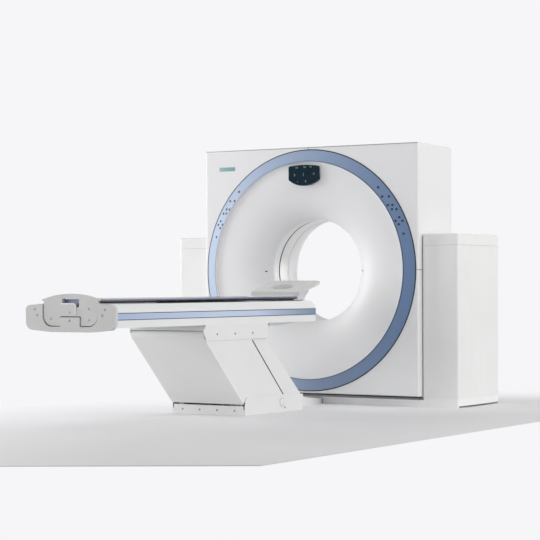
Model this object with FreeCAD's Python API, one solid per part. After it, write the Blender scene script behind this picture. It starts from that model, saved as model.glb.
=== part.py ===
"""CT scanner: tilting gantry between two side boxes, patient couch on a parallel-arm lift.

Frame: origin on the floor under the iso-centre (tilt axis crossed with bore axis), +X to the
right as seen from the couch's foot end, +Y along the bore away from the couch, +Z up.
Every solid is written to parts/NAME.step in millimetres.
"""
import FreeCAD, Part
import math
import os

V = FreeCAD.Vector

# ---------------------------------------------------------------- driving dimensions (mm)
ISO_Z = 914.0            # height of the iso-centre, the bore axis and the tilt axis
BORE_R = 350.0           # patient bore
SKIN = 4.0               # moulded cover thickness

# gantry covers
FRONT_Y = -250.0         # plane of the front cover
REAR_Y = 324.0           # plane of the rear cover
FRONT_HALF = 843.6       # half width of the front cover
FRONT_LOW = 71.0         # bottom edge of the front cover
FRONT_TOP = 1761.0       # top edge of the front cover
MODULE_SPLIT = -80.0     # the corner panels' sides return to here
REAR_INSET = 6.0         # the rear cover is this much smaller all round
REAR_EDGE_R = 80.0       # soft rear edges
PANEL_SEAM = 3.0         # gap between the corner panels
TOP_SEAM_X = -20.0       # the upper seam is a little off centre, over the display

# ring, funnel and bore
RING_OUT_R = 827.6       # outer edge of the blue ring, at the cover plane
RING_IN_R = 744.5        # inner edge, standing proud of the cover
RING_PROUD = 30.0        # how far the inner edge stands proud
PANEL_RING_R = 829.6     # edge of the corner panels round the ring
LIP_R = 740.0            # outer edge of the funnel
LIP_Y = -262.0
THROAT_Y = -120.0        # where the funnel meets the straight bore
SEAL_FRONT_Y = -66.0     # seal groove between the bore and the scan window
WINDOW_Y = 50.0          # half length of the clear part of the scan window
REAR_FLARE_R = 520.0     # bore flare at the rear face
FUNNEL_STEPS = 8         # bands of the funnel's curve

# side boxes
BOX_IN_X = 852.0
BOX_OUT_X = 1122.8
BOX_FRONT_Y = -193.0
BOX_REAR_Y = 461.0
KICK_Z = 59.0            # seam between plinth and side box
LID_Z = 1074.8           # seam between side box and lid
BOX_TOP_Z = 1152.4
FLUTE_PITCH = 25.0
FLUTE_DEPTH = 3.0
PLATE_T = 12.0           # floor plate of the stand
ANCHOR_R = 7.0           # holes for the floor anchors

# tilt
TRUNNION_R = 55.0
TILT_MODULE = 5.0
SECTOR_TEETH = 96        # on the full circle; only part of it is cut
PINION_TEETH = 16
PINION_ANGLE = 50.0      # degrees from straight down towards the rear
SECTOR_SPAN = 80.0       # degrees of teeth

# couch
COUCH_HALF = 274.2
COUCH_FOOT_Y = -2846.0
COUCH_HEAD_Y = -622.0
COUCH_LOW_Z = 574.0
COUCH_TOP_Z = 710.0
STRIPE_LOW_Z = 618.0
STRIPE_TOP_Z = 660.0
TROUGH_HALF = 197.0      # the carriage runs in this trough
TROUGH_Z = 582.0
SPINE_HALF = 68.0        # rail block along the middle of the trough
SPINE_Z = 632.0
TOP_HALF = 210.0         # tabletop
TOP_Z = 740.0
TOP_LOW_Z = 715.0
TOP_FOOT_Y = -2898.0
TOP_HEAD_Y = -745.0

# lift: two parallel arms
ARM_Y = -464.0           # from the lower to the upper pivot
ARM_Z = 448.0
PIVOT_LOW_Z = 68.0
REAR_PIVOT_Y = -1051.0
FRONT_PIVOT_Y = -1440.0
PIN_R = 14.0
RUNNING = 0.05           # radial clearance of a pin in its bore

BASE_HALF = 274.0
BASE_FOOT_Y = -1493.0
BASE_HEAD_Y = -788.0


# ---------------------------------------------------------------- general helpers
def block(x0, x1, y0, y1, z0, z1):
    """Box between two corners."""
    return Part.makeBox(x1 - x0, y1 - y0, z1 - z0, V(x0, y0, z0))


def rod_x(radius, x0, x1, y, z):
    """Round bar along X."""
    return Part.makeCylinder(radius, x1 - x0, V(x0, y, z), V(1, 0, 0))


def rod_y(radius, y0, y1, x, z):
    """Round bar along Y."""
    return Part.makeCylinder(radius, y1 - y0, V(x, y0, z), V(0, 1, 0))


def rod_z(radius, z0, z1, x, y):
    """Round bar along Z."""
    return Part.makeCylinder(radius, z1 - z0, V(x, y, z0), V(0, 0, 1))


def joined(shapes):
    """One solid from touching shapes."""
    first, *rest = shapes
    whole = first.fuse(rest) if rest else first
    return whole.removeSplitter()


def mirrored(shape):
    """The same shape on the other side of the bore axis."""
    return shape.mirror(V(0, 0, 0), V(1, 0, 0))


def corner(before, here, after):
    """Start, middle and end of the arc that rounds one corner (u, v, radius)."""
    u, v, radius = here
    au, av = before[0] - u, before[1] - v
    bu, bv = after[0] - u, after[1] - v
    la, lb = math.hypot(au, av), math.hypot(bu, bv)
    au, av, bu, bv = au / la, av / la, bu / lb, bv / lb
    if radius <= 0:
        return (u, v), None, (u, v)
    half = math.acos(max(-1.0, min(1.0, au * bu + av * bv))) / 2
    reach = radius / math.tan(half)
    mu, mv = au + bu, av + bv
    lm = math.hypot(mu, mv)
    inward = radius / math.sin(half) - radius
    start = (u + au * reach, v + av * reach)
    middle = (u + mu / lm * inward, v + mv / lm * inward)
    return start, middle, (u + bu * reach, v + bv * reach)


def outline(points, place):
    """Closed face through (u, v, radius) corners; place turns (u, v) into a vector."""
    corners = [corner(points[i - 1], p, points[(i + 1) % len(points)]) for i, p in enumerate(points)]
    edges = []
    for i, (start, middle, end) in enumerate(corners):
        if middle:
            edges.append(Part.Arc(place(*start), place(*middle), place(*end)).toShape())
        following = corners[(i + 1) % len(corners)][0]
        if math.hypot(following[0] - end[0], following[1] - end[1]) > 1e-6:
            edges.append(Part.LineSegment(place(*end), place(*following)).toShape())
    return Part.Face(Part.Wire(edges))


def rounded(points, radius=0.0):
    """Give every (u, v) point the same corner radius; (u, v, r) points keep their own."""
    return [(p[0], p[1], p[2] if len(p) > 2 else radius) for p in points]


def prism_x(points, x0, x1, radius=0.0):
    """Outline of (y, z) points, extruded along X."""
    face = outline(rounded(points, radius), lambda y, z: V(x0, y, z))
    return face.extrude(V(x1 - x0, 0, 0))


def prism_y(points, y0, y1, radius=0.0):
    """Outline of (x, z) points, extruded along Y."""
    face = outline(rounded(points, radius), lambda x, z: V(x, y0, z))
    return face.extrude(V(0, y1 - y0, 0))


def prism_z(points, z0, z1, radius=0.0):
    """Outline of (x, y) points, extruded along Z."""
    face = outline(rounded(points, radius), lambda x, y: V(x, y, z0))
    return face.extrude(V(0, 0, z1 - z0))


def rectangle(u0, u1, v0, v1):
    """The four corners of a rectangle, for the prisms."""
    return [(u0, v0), (u1, v0), (u1, v1), (u0, v1)]


def turned(points, radius=0.0):
    """Outline of (r, y) points, turned round the bore axis."""
    face = outline(rounded(points, radius), lambda r, y: V(r, y, ISO_Z))
    return face.revolve(V(0, 0, ISO_Z), V(0, 1, 0), 360)


def ring_y(outer, inner, y0, y1):
    """Plain ring round the bore axis."""
    return turned([(inner, y0), (outer, y0), (outer, y1), (inner, y1)])


def softened(shape, radius, chosen):
    """Round the edges for which chosen(edge) holds."""
    return shape.makeFillet(radius, [e for e in shape.Edges if chosen(e)])


PARTS = {}


def keep(name, shape):
    """Check a finished sub-part and put it on the list to be written."""
    solids = shape.Solids
    if not solids or not shape.isValid():
        raise ValueError(f"{name}: {len(solids)} solids, valid {shape.isValid()}")
    PARTS[name] = solids[0] if len(solids) == 1 else Part.makeCompound(solids)
    print(f"{name:24s} {len(solids)} solid(s) {shape.Volume / 1e6:9.2f} litres")


# ---------------------------------------------------------------- side boxes and plinth
BOX_BULGE = 15.0         # the outer wall bows out by this much
BOX_REAR_R = 50.0
BOX_FRONT_R = 14.0
BOX_MID_Y = (BOX_FRONT_Y + BOX_REAR_Y) / 2
BOX_HALF_Y = (BOX_REAR_Y - BOX_FRONT_Y) / 2
BOX_WALL = 7.0           # wall with the flutes; 4 mm is left under them
BOX_HOLE_R = 70.0        # hole for the trunnion


def box_envelope(inset, z0, z1):
    """Plan of a side box, drawn in by the inset, between two heights."""
    x0, x1 = BOX_IN_X + inset, BOX_OUT_X - inset
    y0, y1 = BOX_FRONT_Y + inset, BOX_REAR_Y - inset
    end_x = x1 - BOX_BULGE
    front_in, front_out = V(x0, y0, z0), V(end_x, y0, z0)
    rear_out, rear_in = V(end_x, y1, z0), V(x0, y1, z0)
    edges = [
        Part.LineSegment(front_in, front_out).toShape(),
        Part.Arc(front_out, V(x1, BOX_MID_Y, z0), rear_out).toShape(),
        Part.LineSegment(rear_out, rear_in).toShape(),
        Part.LineSegment(rear_in, front_in).toShape(),
    ]
    solid = Part.Face(Part.Wire(edges)).extrude(V(0, 0, z1 - z0))

    def upright(x, y):
        return lambda e: all(abs(v.X - x) < 0.1 and abs(v.Y - y) < 0.1 for v in e.Vertexes)

    solid = softened(solid, BOX_REAR_R - inset, upright(end_x, y1))
    return softened(solid, BOX_FRONT_R - inset, upright(end_x, y0))


def flutes():
    """Round-bottomed grooves down the outer wall."""
    half_width = 0.4 * FLUTE_PITCH
    radius = (half_width ** 2 + FLUTE_DEPTH ** 2) / (2 * FLUTE_DEPTH)
    first, last = BOX_FRONT_Y + FLUTE_PITCH, BOX_REAR_Y - BOX_REAR_R
    count = int((last - first) / FLUTE_PITCH) + 1
    cutters = []
    for i in range(count):
        y = first + i * FLUTE_PITCH
        wall_x = BOX_OUT_X - BOX_BULGE * ((y - BOX_MID_Y) / BOX_HALF_Y) ** 2
        cutters.append(rod_z(radius, KICK_Z - 1, LID_Z + 1, wall_x + radius - FLUTE_DEPTH, y))
    return cutters


def side_cover():
    """Fluted tube of four walls, open at the bottom and under the lid."""
    walls = box_envelope(0, KICK_Z, LID_Z).cut(box_envelope(BOX_WALL, KICK_Z - 1, LID_Z + 1))
    walls = walls.cut(flutes())
    return walls.cut(rod_x(BOX_HOLE_R, BOX_IN_X - 5, BOX_IN_X + 20, 0, ISO_Z))


def side_lid():
    """Shallow lid with a bevelled upper edge; its inner lip stands on the side cover."""
    seam = 1.5
    edge_r = 8.0
    lip = 4.0
    outside = box_envelope(0, LID_Z + seam, BOX_TOP_Z)
    rim = [e for e in outside.Edges if all(abs(v.Z - BOX_TOP_Z) < 0.1 for v in e.Vertexes)]
    outside = outside.makeChamfer(edge_r, rim)
    body = outside.fuse(box_envelope(lip, LID_Z, LID_Z + seam))
    return body.cut(box_envelope(BOX_WALL, LID_Z - 1, BOX_TOP_Z - SKIN)).removeSplitter()


def plinth():
    """Kick under each side box and the strips under the gantry, one welded skirt."""
    set_back = 2.0
    wall = 8.0
    kick = box_envelope(set_back, 0, KICK_Z).cut(box_envelope(wall, -1, KICK_Z + 1))
    plate_room = PLATE_T + 0.2
    rear_y = BOX_REAR_Y - 31
    kick = kick.cut(block(0, BOX_OUT_X, BOX_FRONT_Y + 13, rear_y, -1, plate_room))
    strip_top = 46.0
    strip_wall = 4.0
    half = BOX_IN_X + set_back
    front = block(-half, half, BOX_FRONT_Y, BOX_FRONT_Y + strip_wall, 0, strip_top)
    rear = block(-half, half, rear_y, rear_y + strip_wall, 0, strip_top)
    duct_gap = block(-78, 78, BOX_FRONT_Y - 1, BOX_FRONT_Y + strip_wall + 1, -1, 43)
    return joined([kick, mirrored(kick), front.cut(duct_gap), rear])


# ---------------------------------------------------------------- stand frame and tilt drive
POST_X0 = 930.0
POST_X1 = 990.0
POST_BOSS_R = 95.0
POST_BOSS_X1 = 1000.0
PINION_PITCH_R = TILT_MODULE * PINION_TEETH / 2
SECTOR_PITCH_R = TILT_MODULE * SECTOR_TEETH / 2
GEAR_DISTANCE = PINION_PITCH_R + SECTOR_PITCH_R
PINION_Y = GEAR_DISTANCE * math.sin(math.radians(PINION_ANGLE))
PINION_Z = ISO_Z - GEAR_DISTANCE * math.cos(math.radians(PINION_ANGLE))
GEAR_X0 = 872.0
GEAR_X1 = 897.0
PINION_SHAFT_R = 15.0
PINION_SHAFT_REACH = 30.0    # how far the shaft runs into the motor
MOTOR_PLATE_X1 = 944.0


def post():
    """Tapered upright with a pocket on each side and the tilt bearing at its top."""
    flange = 16.0
    web = 7.0
    mid = (POST_X0 + POST_X1) / 2
    foot_front, foot_rear, top = -165.0, 375.0, ISO_Z + 20
    outer = [(foot_front, PLATE_T), (foot_rear, PLATE_T), (88, top), (-88, top)]
    body = prism_x(outer, POST_X0, POST_X1)
    pocket = [(-130, 60, 20), (310, 60, 20), (176, 470, 20), (-96, 470, 20)]
    upper = [(-92, 496, 20), (166, 496, 20), (88, 790, 20), (-62, 790, 20)]
    for hollow in (pocket, upper):
        body = body.cut(prism_x(hollow, POST_X0 - 1, mid - web))
        body = body.cut(prism_x(hollow, mid + web, POST_X1 + 1))
    boss = rod_x(POST_BOSS_R, POST_X0 - 5, POST_BOSS_X1, 0, ISO_Z)
    tabs = []
    for z in (300, 560):
        tabs.append(block(mid, BOX_OUT_X - BOX_BULGE - BOX_WALL - 20, -60, 60, z, z + 6))
        tabs.append(block(BOX_IN_X + BOX_WALL, POST_X0 + flange, -145, -95, z - 60, z - 54))
    bore = rod_x(TRUNNION_R + RUNNING, POST_X0 - 10, POST_BOSS_X1 + 10, 0, ISO_Z)
    return joined([body, boss] + tabs).cut(bore)


def motor_plate():
    """Bracket on the right post, with the bush of the pinion shaft."""
    plate = [(110, 640, 12), (PINION_Y + 90, 650, 30), (PINION_Y + 90, PINION_Z + 80, 30), (60, 850, 12)]
    return prism_x(plate, POST_X0, MOTOR_PLATE_X1)


def stand_frame():
    """Floor plate with both posts."""
    plate = block(-1100, 1100, -180, 430, 0, PLATE_T)
    holes = [block(1012, 1082, 270, 370, -1, PLATE_T + 1)]
    for x in (-1060, -620, 620, 1060):
        for y in (-150, 400):
            holes.append(rod_z(ANCHOR_R, -1, PLATE_T + 1, x, y))
    frame = joined([plate, post(), mirrored(post()), motor_plate()])
    bush = rod_x(PINION_SHAFT_R + RUNNING, POST_X0 - 1, MOTOR_PLATE_X1 + 1, PINION_Y, PINION_Z)
    return frame.cut(holes + [bush])


def tooth_profile(pitch_r, teeth, angle, backlash):
    """One involute-like tooth as (u, v) points about its own centre; the tooth points along angle."""
    pressure = math.radians(20)
    base_r = pitch_r * math.cos(pressure)
    tip_r = pitch_r + TILT_MODULE
    root_r = pitch_r - 1.25 * TILT_MODULE
    half_pitch = math.pi / (2 * teeth) - backlash / (2 * pitch_r)
    inv_pitch = math.tan(pressure) - pressure

    def flank(radius):
        cosine = min(1.0, base_r / radius)
        here = math.acos(cosine)
        return half_pitch + inv_pitch - (math.tan(here) - here)

    radii = [root_r - 1, max(base_r, root_r + 1), pitch_r, (pitch_r + tip_r) / 2, tip_r]
    side = [(radius, flank(max(radius, base_r))) for radius in radii]
    right = [(r, angle - a) for r, a in side]
    left = [(r, angle + a) for r, a in reversed(side)]
    return [(r * math.cos(a), r * math.sin(a)) for r, a in right + left]


def gear_teeth(pitch_r, teeth, angles, centre_y, centre_z, backlash):
    """Teeth at the given angles (radians, from +Y towards +Z) round an axis along X."""
    cut = []
    for angle in angles:
        points = [(centre_y + u, centre_z + v) for u, v in tooth_profile(pitch_r, teeth, angle, backlash)]
        cut.append(prism_x(points, GEAR_X0, GEAR_X1))
    return cut


def line_of_centres():
    """Direction from the tilt axis to the pinion, as an angle from +Y towards +Z."""
    return math.radians(PINION_ANGLE - 90)


def tilt_sector():
    """Toothed sector keyed on the right trunnion; a tooth space faces the pinion at rest."""
    step = 2 * math.pi / SECTOR_TEETH
    count = int(round(math.radians(SECTOR_SPAN) / step / 2)) * 2
    mid = line_of_centres()
    angles = [mid + (i - (count - 1) / 2) * step for i in range(count)]
    teeth = gear_teeth(SECTOR_PITCH_R, SECTOR_TEETH, angles, 0, ISO_Z, 0.3)
    rim_r = SECTOR_PITCH_R - 1.25 * TILT_MODULE
    rim = rod_x(rim_r, GEAR_X0, GEAR_X1, 0, ISO_Z)
    spread = math.radians(SECTOR_SPAN / 2 + 3)
    reach, tip_reach = 400.0, 360.0
    window_r, window_place = 38.0, 155.0
    hub_r, hub_proud = 84.0, 8.0

    def at(distance, angle):
        return (distance * math.cos(angle), ISO_Z + distance * math.sin(angle))

    wedge = [(0, ISO_Z), at(reach, mid - spread), at(tip_reach, mid), at(reach, mid + spread)]
    blade = rim.common(prism_x(wedge, GEAR_X0 - 1, GEAR_X1 + 1))
    windows = []
    for side in (-1, 1):
        centre = at(window_place, mid + side * spread / 2)
        windows.append(rod_x(window_r, GEAR_X0 - 1, GEAR_X1 + 1, *centre))
    hub = rod_x(hub_r, GEAR_X0 - hub_proud, GEAR_X1 + hub_proud, 0, ISO_Z)
    shaft_hole = rod_x(TRUNNION_R, GEAR_X0 - 20, GEAR_X1 + 20, 0, ISO_Z)
    return joined([blade.cut(windows), hub] + teeth).cut(shaft_hole)


def tilt_pinion():
    """Pinion and its shaft; one tooth lies on the line of centres at rest."""
    step = 2 * math.pi / PINION_TEETH
    towards = line_of_centres() + math.pi
    angles = [towards + i * step for i in range(PINION_TEETH)]
    teeth = gear_teeth(PINION_PITCH_R, PINION_TEETH, angles, PINION_Y, PINION_Z, 0.3)
    root = rod_x(PINION_PITCH_R - 1.25 * TILT_MODULE, GEAR_X0, GEAR_X1, PINION_Y, PINION_Z)
    collar = rod_x(PINION_SHAFT_R + 6, GEAR_X1, POST_X0 - 2, PINION_Y, PINION_Z)
    shaft = rod_x(PINION_SHAFT_R, POST_X0 - 2, MOTOR_PLATE_X1 + PINION_SHAFT_REACH, PINION_Y, PINION_Z)
    return joined([root, collar, shaft] + teeth)


def tilt_motor():
    """Geared motor, flanged to the bracket; the pinion shaft turns in its bore."""
    x = MOTOR_PLATE_X1
    stages = []
    for radius, start, end in ((56, 0, 12), (50, 12, 70), (44, 70, 135)):
        stages.append(rod_x(radius, x + start, x + end, PINION_Y, PINION_Z))
    bore = rod_x(PINION_SHAFT_R + RUNNING, x - 1, x + PINION_SHAFT_REACH + 1, PINION_Y, PINION_Z)
    return joined(stages).cut(bore)


# ---------------------------------------------------------------- gantry structure
RING_PLATE_Y0 = 110.0
RING_PLATE_Y1 = 135.0
RING_PLATE_R = 790.0
RACE_OUT_R = 520.0
LAND_R = 475.0           # bearing land of the rotor
BEARING_Y1 = 165.0
POST_IN = 758.0          # corner posts of the tilt frame, inside the covers
POST_OUT = 800.0
POST_REAR_Y = 250.0
POST_WALL = 4.0
TRUNNION_FLANGE_X = 815.0
TRUNNION_FLANGE_R = 110.0
TRUNNION_END_X = 1000.0
PANEL_SKIN = REAR_INSET  # the corner panels are as thick as the rear cover's inset


def corner_post(sx, sz):
    """Square tube behind one corner of the covers, and the strut that ties it to the ring plate."""
    def at(x, z):
        return (sx * x, ISO_Z + sz * z)

    strut = [at(500, 560), at(560, 500), at(POST_OUT, POST_OUT - 60), at(POST_OUT - 60, POST_OUT)]
    x0, x1 = sorted((sx * POST_IN, sx * POST_OUT))
    z0, z1 = sorted((ISO_Z + sz * POST_IN, ISO_Z + sz * POST_OUT))
    t = POST_WALL
    tube = block(x0, x1, FRONT_Y + PANEL_SKIN, POST_REAR_Y, z0, z1)
    hollow = block(x0 + t, x1 - t, FRONT_Y, POST_REAR_Y + 1, z0 + t, z1 - t)
    return [prism_y(strut, RING_PLATE_Y0, RING_PLATE_Y1), tube.cut(hollow)]


def tilt_frame():
    """Welded ring plate, side plates, trunnions and the four corner posts that hold the covers."""
    ring = ring_y(RING_PLATE_R, RACE_OUT_R, RING_PLATE_Y0, RING_PLATE_Y1)
    stiffener = ring_y(RING_PLATE_R, RING_PLATE_R - 14, RING_PLATE_Y1, RING_PLATE_Y1 + 60)
    pieces = [ring, stiffener]
    for side in (-1, 1):
        x0, x1 = sorted((side * 760, side * RING_PLATE_R))
        cheek = [(-90, ISO_Z - 150, 30), (RING_PLATE_Y1, ISO_Z - 230), (RING_PLATE_Y1, ISO_Z + 230),
                 (-90, ISO_Z + 150, 30)]
        pieces.append(prism_x(cheek, x0, x1))
        f0, f1 = sorted((side * RING_PLATE_R, side * TRUNNION_FLANGE_X))
        pieces.append(rod_x(TRUNNION_FLANGE_R, f0, f1, 0, ISO_Z))
        t0, t1 = sorted((side * TRUNNION_FLANGE_X, side * TRUNNION_END_X))
        pieces.append(rod_x(TRUNNION_R, t0, t1, 0, ISO_Z))
    for sx in (-1, 1):
        for sz in (-1, 1):
            pieces += corner_post(sx, sz)
    frame = joined(pieces)
    return frame.cut(rod_y(RACE_OUT_R, RING_PLATE_Y0 - 1, RING_PLATE_Y1 + 1, 0, ISO_Z))


def main_bearing():
    """Outer race of the slewing bearing, pressed into the ring plate."""
    gap = 0.08
    race = [(LAND_R + gap, RING_PLATE_Y0), (RACE_OUT_R, RING_PLATE_Y0), (RACE_OUT_R, RING_PLATE_Y1),
            (RACE_OUT_R + 18, RING_PLATE_Y1), (RACE_OUT_R + 18, BEARING_Y1), (LAND_R + gap, BEARING_Y1)]
    return turned(race)


# ---------------------------------------------------------------- gantry covers
def front_shell():
    """The whole front cover before it is parted: plate, sides, soft front edge, ring opening."""
    edge_r = 12.0
    half = FRONT_HALF
    outside = block(-half, half, FRONT_Y, MODULE_SPLIT, FRONT_LOW, FRONT_TOP)
    outside = softened(outside, edge_r, lambda e: all(abs(v.Y - FRONT_Y) < 0.1 for v in e.Vertexes))
    t = PANEL_SKIN
    inside = block(-half + t, half - t, FRONT_Y + t, MODULE_SPLIT + 1, FRONT_LOW + t, FRONT_TOP - t)
    return outside.cut(inside).cut(rod_y(PANEL_RING_R, FRONT_Y - 1, FRONT_Y + 20, 0, ISO_Z))


def corner_panel(right, upper):
    """One quarter of the front cover, parted by the seams."""
    seam = PANEL_SEAM / 2
    middle_x = TOP_SEAM_X if upper else 0.0
    x0, x1 = (middle_x + seam, 900) if right else (-900, middle_x - seam)
    z0, z1 = (ISO_Z + seam, 1800) if upper else (0, ISO_Z - seam)
    return front_shell().common(block(x0, x1, FRONT_Y - 10, MODULE_SPLIT + 10, z0, z1))


def rear_cover():
    """Rear shell with soft edges and a flared bore; its front edge slips inside the panels."""
    tuck = 10.0
    half = FRONT_HALF - REAR_INSET
    low, top = FRONT_LOW + REAR_INSET, FRONT_TOP - REAR_INSET
    y0 = MODULE_SPLIT - tuck

    def rear_edge(y):
        return lambda e: all(abs(v.Y - y) < 0.1 for v in e.Vertexes)

    def lengthwise(e):
        a, b = e.Vertexes[0].Point, e.Vertexes[-1].Point
        return abs(a.y - b.y) > 100

    outside = block(-half, half, y0, REAR_Y, low, top)
    outside = softened(outside, 10, lengthwise)
    outside = softened(outside, REAR_EDGE_R, rear_edge(REAR_Y))
    inside = block(-half + SKIN, half - SKIN, y0 - 1, REAR_Y - SKIN, low + SKIN, top - SKIN)
    inside = softened(inside, REAR_EDGE_R - SKIN, rear_edge(REAR_Y - SKIN))
    shell = outside.cut(inside)
    shell = shell.cut(rod_y(REAR_FLARE_R, 200, REAR_Y + 10, 0, ISO_Z))
    shell = shell.cut(rod_x(TRUNNION_R + 7, -900, 900, 0, ISO_Z))
    return joined([shell, bell(REAR_FLARE_R, REAR_Y, 120.0, -SEAL_FRONT_Y, 4)])


def bell_curve(mouth_r, mouth_y, throat_y, thickness, steps):
    """Points (r, y) of a quarter ellipse from the throat to the mouth of a bell."""
    a = mouth_r - BORE_R - thickness
    b = mouth_y - throat_y
    b -= math.copysign(thickness, b)
    turns = [i * math.pi / 2 / steps for i in range(steps + 1)]
    return [(mouth_r - a * math.cos(t), throat_y + b * math.sin(t)) for t in turns]


def bell(mouth_r, mouth_y, throat_y, end_y, steps):
    """Bell mouth of the bore: a quarter ellipse, a straight throat and an end flange."""
    flange = 12.0
    end_in = end_y + math.copysign(SKIN, mouth_y - throat_y)
    face = bell_curve(mouth_r, mouth_y, throat_y, 0, steps)
    back = bell_curve(mouth_r, mouth_y, throat_y, SKIN, steps // 2 + 1)
    foot = [(BORE_R + SKIN, end_in), (BORE_R + flange, end_in), (BORE_R + flange, end_y), (BORE_R, end_y)]
    return turned(face + back[::-1] + foot)


def front_funnel():
    """Deep bell mouth in front of the bore, with a flange behind the ring's inner edge."""
    lip = ring_y(RING_IN_R + SKIN, LIP_R - 6, LIP_Y, LIP_Y + SKIN)
    return joined([bell(LIP_R, LIP_Y, THROAT_Y, SEAL_FRONT_Y, FUNNEL_STEPS), lip])


def scan_window():
    """Thin clear ring between the two halves of the bore, with a groove at each end."""
    groove_r, face_r, wall = BORE_R + 8, BORE_R + 1, 3.0
    end, mid = -SEAL_FRONT_Y, WINDOW_Y
    profile = [(groove_r, -end), (groove_r, -mid), (face_r, -mid), (face_r, mid), (groove_r, mid),
               (groove_r, end), (groove_r + wall, end), (groove_r + wall, -end)]
    return turned(profile)


# ---------------------------------------------------------------- ring, keys and display
CONE = math.atan2(RING_PROUD, RING_OUT_R - RING_IN_R)   # slope of the ring's face
KEY_R = 6.5
KEY_PROUD = 2.2
KEY_GAP = 0.3
LAMP_R = 9.0
LAMP_PLACE = (554.0, 553.0)
KEY_PLACES = [           # (x, z - ISO_Z) of the keys on the right side, mirrored on the left
    (588, 490), (632, 490), (631, 432), (660, 433), (660, 404), (689, 404),
    (711, 350), (689, 326), (733, 326), (711, 302), (745, 239),
]


def ring_y_at(radius):
    """Y of the ring's conical face at a distance from the bore axis."""
    return FRONT_Y - RING_PROUD + (radius - RING_IN_R) * math.tan(CONE)


def face_point(x, dz):
    """Point of the ring's face and its outward normal, for a place given from the bore axis."""
    r = math.hypot(x, dz)
    normal = V(math.sin(CONE) * x / r, -math.cos(CONE), math.sin(CONE) * dz / r)
    return V(x, ring_y_at(r), ISO_Z + dz), normal


def disc(place, radius, out, back):
    """Cylinder square to the ring's face, from out in front of it to back behind it."""
    point, normal = face_point(*place)
    return Part.makeCylinder(radius, out - back, point + normal * back, normal)


def sides(places):
    """Every place and its mirror image, right side first."""
    return [(side * x, dz) for side in (1, -1) for x, dz in places]


def blue_ring():
    """Conical ring shell with a flange behind the panels, key holes and two fixed lamps."""
    drop = SKIN / math.cos(CONE)
    flange_y = FRONT_Y + PANEL_SKIN
    flange_r = 836.0
    inner, outer = RING_IN_R + SKIN, RING_OUT_R - SKIN
    profile = [(flange_r, flange_y), (RING_OUT_R, flange_y), (RING_OUT_R, FRONT_Y),
               (inner, ring_y_at(inner)), (RING_IN_R, FRONT_Y - RING_PROUD + SKIN),
               (RING_IN_R, LIP_Y), (inner, LIP_Y), (inner, ring_y_at(inner) + drop),
               (outer, ring_y_at(outer) + drop), (outer, flange_y + SKIN), (flange_r, flange_y + SKIN)]
    ring = turned(profile)
    ring = ring.cut([disc(p, KEY_R + KEY_GAP, 10, -15) for p in sides(KEY_PLACES)])
    lamps = [disc(p, LAMP_R, 2, -2) for p in sides([LAMP_PLACE])]
    return joined([ring] + lamps)


def key(place):
    """Round key, a plain turned plunger that runs in its hole."""
    return disc(place, KEY_R, KEY_PROUD, -SKIN - 4)


def keys():
    """Name of every key with its solid."""
    made = {}
    for side, word in ((1, "right"), (-1, "left")):
        for number, (x, dz) in enumerate(KEY_PLACES, 1):
            made[f"{word}_key_{number}"] = key((side * x, dz))
    return made


def display():
    """Shield-shaped display over the bore; its back follows the funnel."""
    half, face_y, back_y = 117.5, -285.0, -240.0
    mid = TOP_SEAM_X
    side_low, tip, side_top, top = 1536.0, 1494.0, 1628.0, 1637.0

    def at(x, z):
        return V(mid + x, face_y, z)

    edges = [
        Part.Arc(at(-half, side_low), at(0, tip), at(half, side_low)).toShape(),
        Part.LineSegment(at(half, side_low), at(half, side_top)).toShape(),
        Part.Arc(at(half, side_top), at(0, top), at(-half, side_top)).toShape(),
        Part.LineSegment(at(-half, side_top), at(-half, side_low)).toShape(),
    ]
    solid = Part.Face(Part.Wire(edges)).extrude(V(0, back_y - face_y, 0))

    def corner_edge(e):
        a, b = e.Vertexes[0].Point, e.Vertexes[-1].Point
        return abs(a.y - b.y) > 20 and abs(a.x - b.x) < 0.1

    solid = softened(solid, 12, corner_edge)
    return solid.cut(funnel_space())


def funnel_space():
    """Everything behind the funnel's face, from the lip inwards."""
    face = bell_curve(LIP_R, LIP_Y, THROAT_Y, 0, FUNNEL_STEPS)
    return turned(face + [(LIP_R, 0), (BORE_R, 0)])


# ---------------------------------------------------------------- rotor
FOCUS_UP = 535.0         # focal spot over the bore axis
FAN_HALF = 26.0          # half of the fan angle, degrees
DETECTOR_R = 940.0       # detector's distance from the focal spot
DRUM_Y0 = 70.0
DRUM_Y1 = 95.0
DRUM_IN_R = 430.0
DRUM_OUT_R = 735.0


def rotor_drum():
    """Drum plate, bearing land, slip ring collar and a counterweight opposite the generator."""
    collar_r, collar_y1 = 450.0, 190.0
    profile = [(DRUM_IN_R, DRUM_Y0), (DRUM_OUT_R, DRUM_Y0), (DRUM_OUT_R, DRUM_Y1), (collar_r, DRUM_Y1),
               (collar_r, RING_PLATE_Y0), (LAND_R, RING_PLATE_Y0), (LAND_R, BEARING_Y1),
               (collar_r, BEARING_Y1), (collar_r, collar_y1), (DRUM_IN_R, collar_y1)]
    drum = turned(profile)
    rim = ring_y(DRUM_OUT_R, DRUM_OUT_R - 12, -20, DRUM_Y0)
    weight = block(470, 690, -70, DRUM_Y0, ISO_Z - 130, ISO_Z + 130)
    window_r, window_place = 75.0, 590.0
    windows = []
    for angle in (40, 140, 215, 325):
        x = window_place * math.cos(math.radians(angle))
        z = ISO_Z + window_place * math.sin(math.radians(angle))
        windows.append(rod_y(window_r, DRUM_Y0 - 1, DRUM_Y1 + 1, x, z))
    return joined([drum, rim, weight]).cut(windows)


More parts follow.
